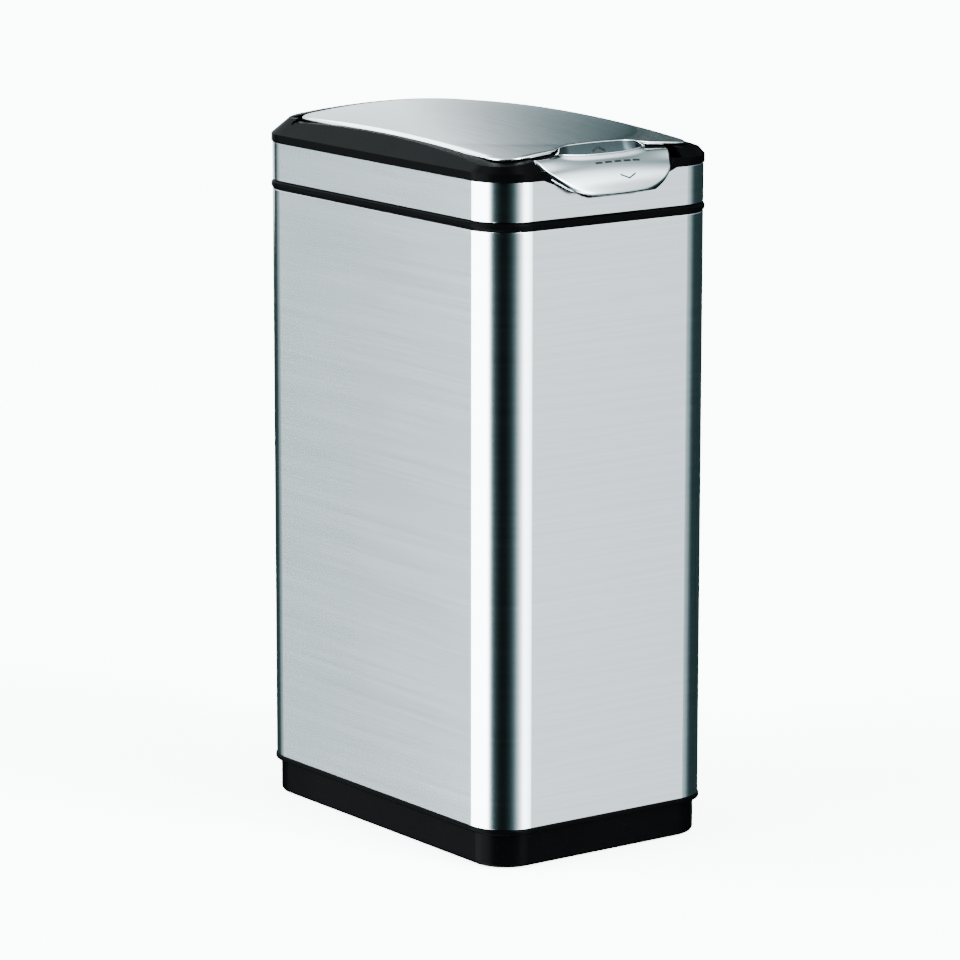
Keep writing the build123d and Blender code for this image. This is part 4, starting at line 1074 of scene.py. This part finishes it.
class BIN_OT_body(bpy.types.Operator):
    """Dresses the brushed sleeve and the black band on top of it"""

    bl_idname = "bin.dress_body"
    bl_label = "Body"

    def execute(self, context):
        dress_group("body")
        return {"FINISHED"}


class BIN_OT_head(bpy.types.Operator):
    """Dresses the head: collar, moulding, hinge and buffers"""

    bl_idname = "bin.dress_head"
    bl_label = "Head"

    def execute(self, context):
        dress_group("head")
        return {"FINISHED"}


class BIN_OT_lid(bpy.types.Operator):
    """Dresses the lid and makes its crowned skin"""

    bl_idname = "bin.make_lid"
    bl_label = "Lid"

    def execute(self, context):
        dress_group("lid")
        make_lid_skin()
        return {"FINISHED"}


class BIN_OT_tab(bpy.types.Operator):
    """Dresses the push tab and makes its skin and its springs"""

    bl_idname = "bin.make_tab"
    bl_label = "Push tab"

    def execute(self, context):
        dress_group("tab")
        make_tab_skin()
        make_tab_coils()
        return {"FINISHED"}


class BIN_OT_scoop(bpy.types.Operator):
    """Makes the finger scoop and the bead round it"""

    bl_idname = "bin.make_scoop"
    bl_label = "Finger scoop"

    def execute(self, context):
        make_scoop()
        return {"FINISHED"}


class BIN_OT_marks(bpy.types.Operator):
    """Makes the arrows and the grip dashes on the push tab"""

    bl_idname = "bin.make_marks"
    bl_label = "Marks"

    def execute(self, context):
        make_marks()
        return {"FINISHED"}


class BIN_OT_catch(bpy.types.Operator):
    """Dresses the sliding catch and its cover"""

    bl_idname = "bin.dress_catch"
    bl_label = "Catch"

    def execute(self, context):
        dress_group("catch")
        return {"FINISHED"}


class BIN_OT_bucket(bpy.types.Operator):
    """Dresses the lift-out bucket with its bail and grip"""

    bl_idname = "bin.dress_bucket"
    bl_label = "Bucket"

    def execute(self, context):
        dress_group("bucket")
        return {"FINISHED"}


OPERATORS = (
    BIN_OT_stage, BIN_OT_base, BIN_OT_body, BIN_OT_head, BIN_OT_lid,
    BIN_OT_tab, BIN_OT_scoop, BIN_OT_marks, BIN_OT_catch, BIN_OT_bucket,
)


class BIN_PT_pieces(bpy.types.Panel):
    """Lists the bin's operators in the 3D view's sidebar"""

    bl_idname = "BIN_PT_pieces"
    bl_label = "Push-top bin"
    bl_space_type = "VIEW_3D"
    bl_region_type = "UI"
    bl_category = "Bin"

    def draw(self, context):
        for each in OPERATORS:
            self.layout.operator(each.bl_idname)


CLASSES = (BinColours, BinSizes, BinStage, *OPERATORS, BIN_PT_pieces)


def register():
    for each in CLASSES:
        bpy.utils.register_class(each)
    bpy.types.Scene.bin_colours = bpy.props.PointerProperty(type=BinColours)
    bpy.types.Scene.bin_sizes = bpy.props.PointerProperty(type=BinSizes)
    bpy.types.Scene.bin_stage = bpy.props.PointerProperty(type=BinStage)


def unregister():
    del bpy.types.Scene.bin_colours
    del bpy.types.Scene.bin_sizes
    del bpy.types.Scene.bin_stage
    for each in reversed(CLASSES):
        bpy.utils.unregister_class(each)


def main():
    register()
    bpy.ops.bin.make_stage()
    bpy.ops.bin.dress_base()
    bpy.ops.bin.dress_body()
    bpy.ops.bin.dress_head()
    bpy.ops.bin.make_lid()
    bpy.ops.bin.make_tab()
    bpy.ops.bin.make_scoop()
    bpy.ops.bin.make_marks()
    bpy.ops.bin.dress_catch()
    bpy.ops.bin.dress_bucket()


if __name__ == "__main__":
    main()
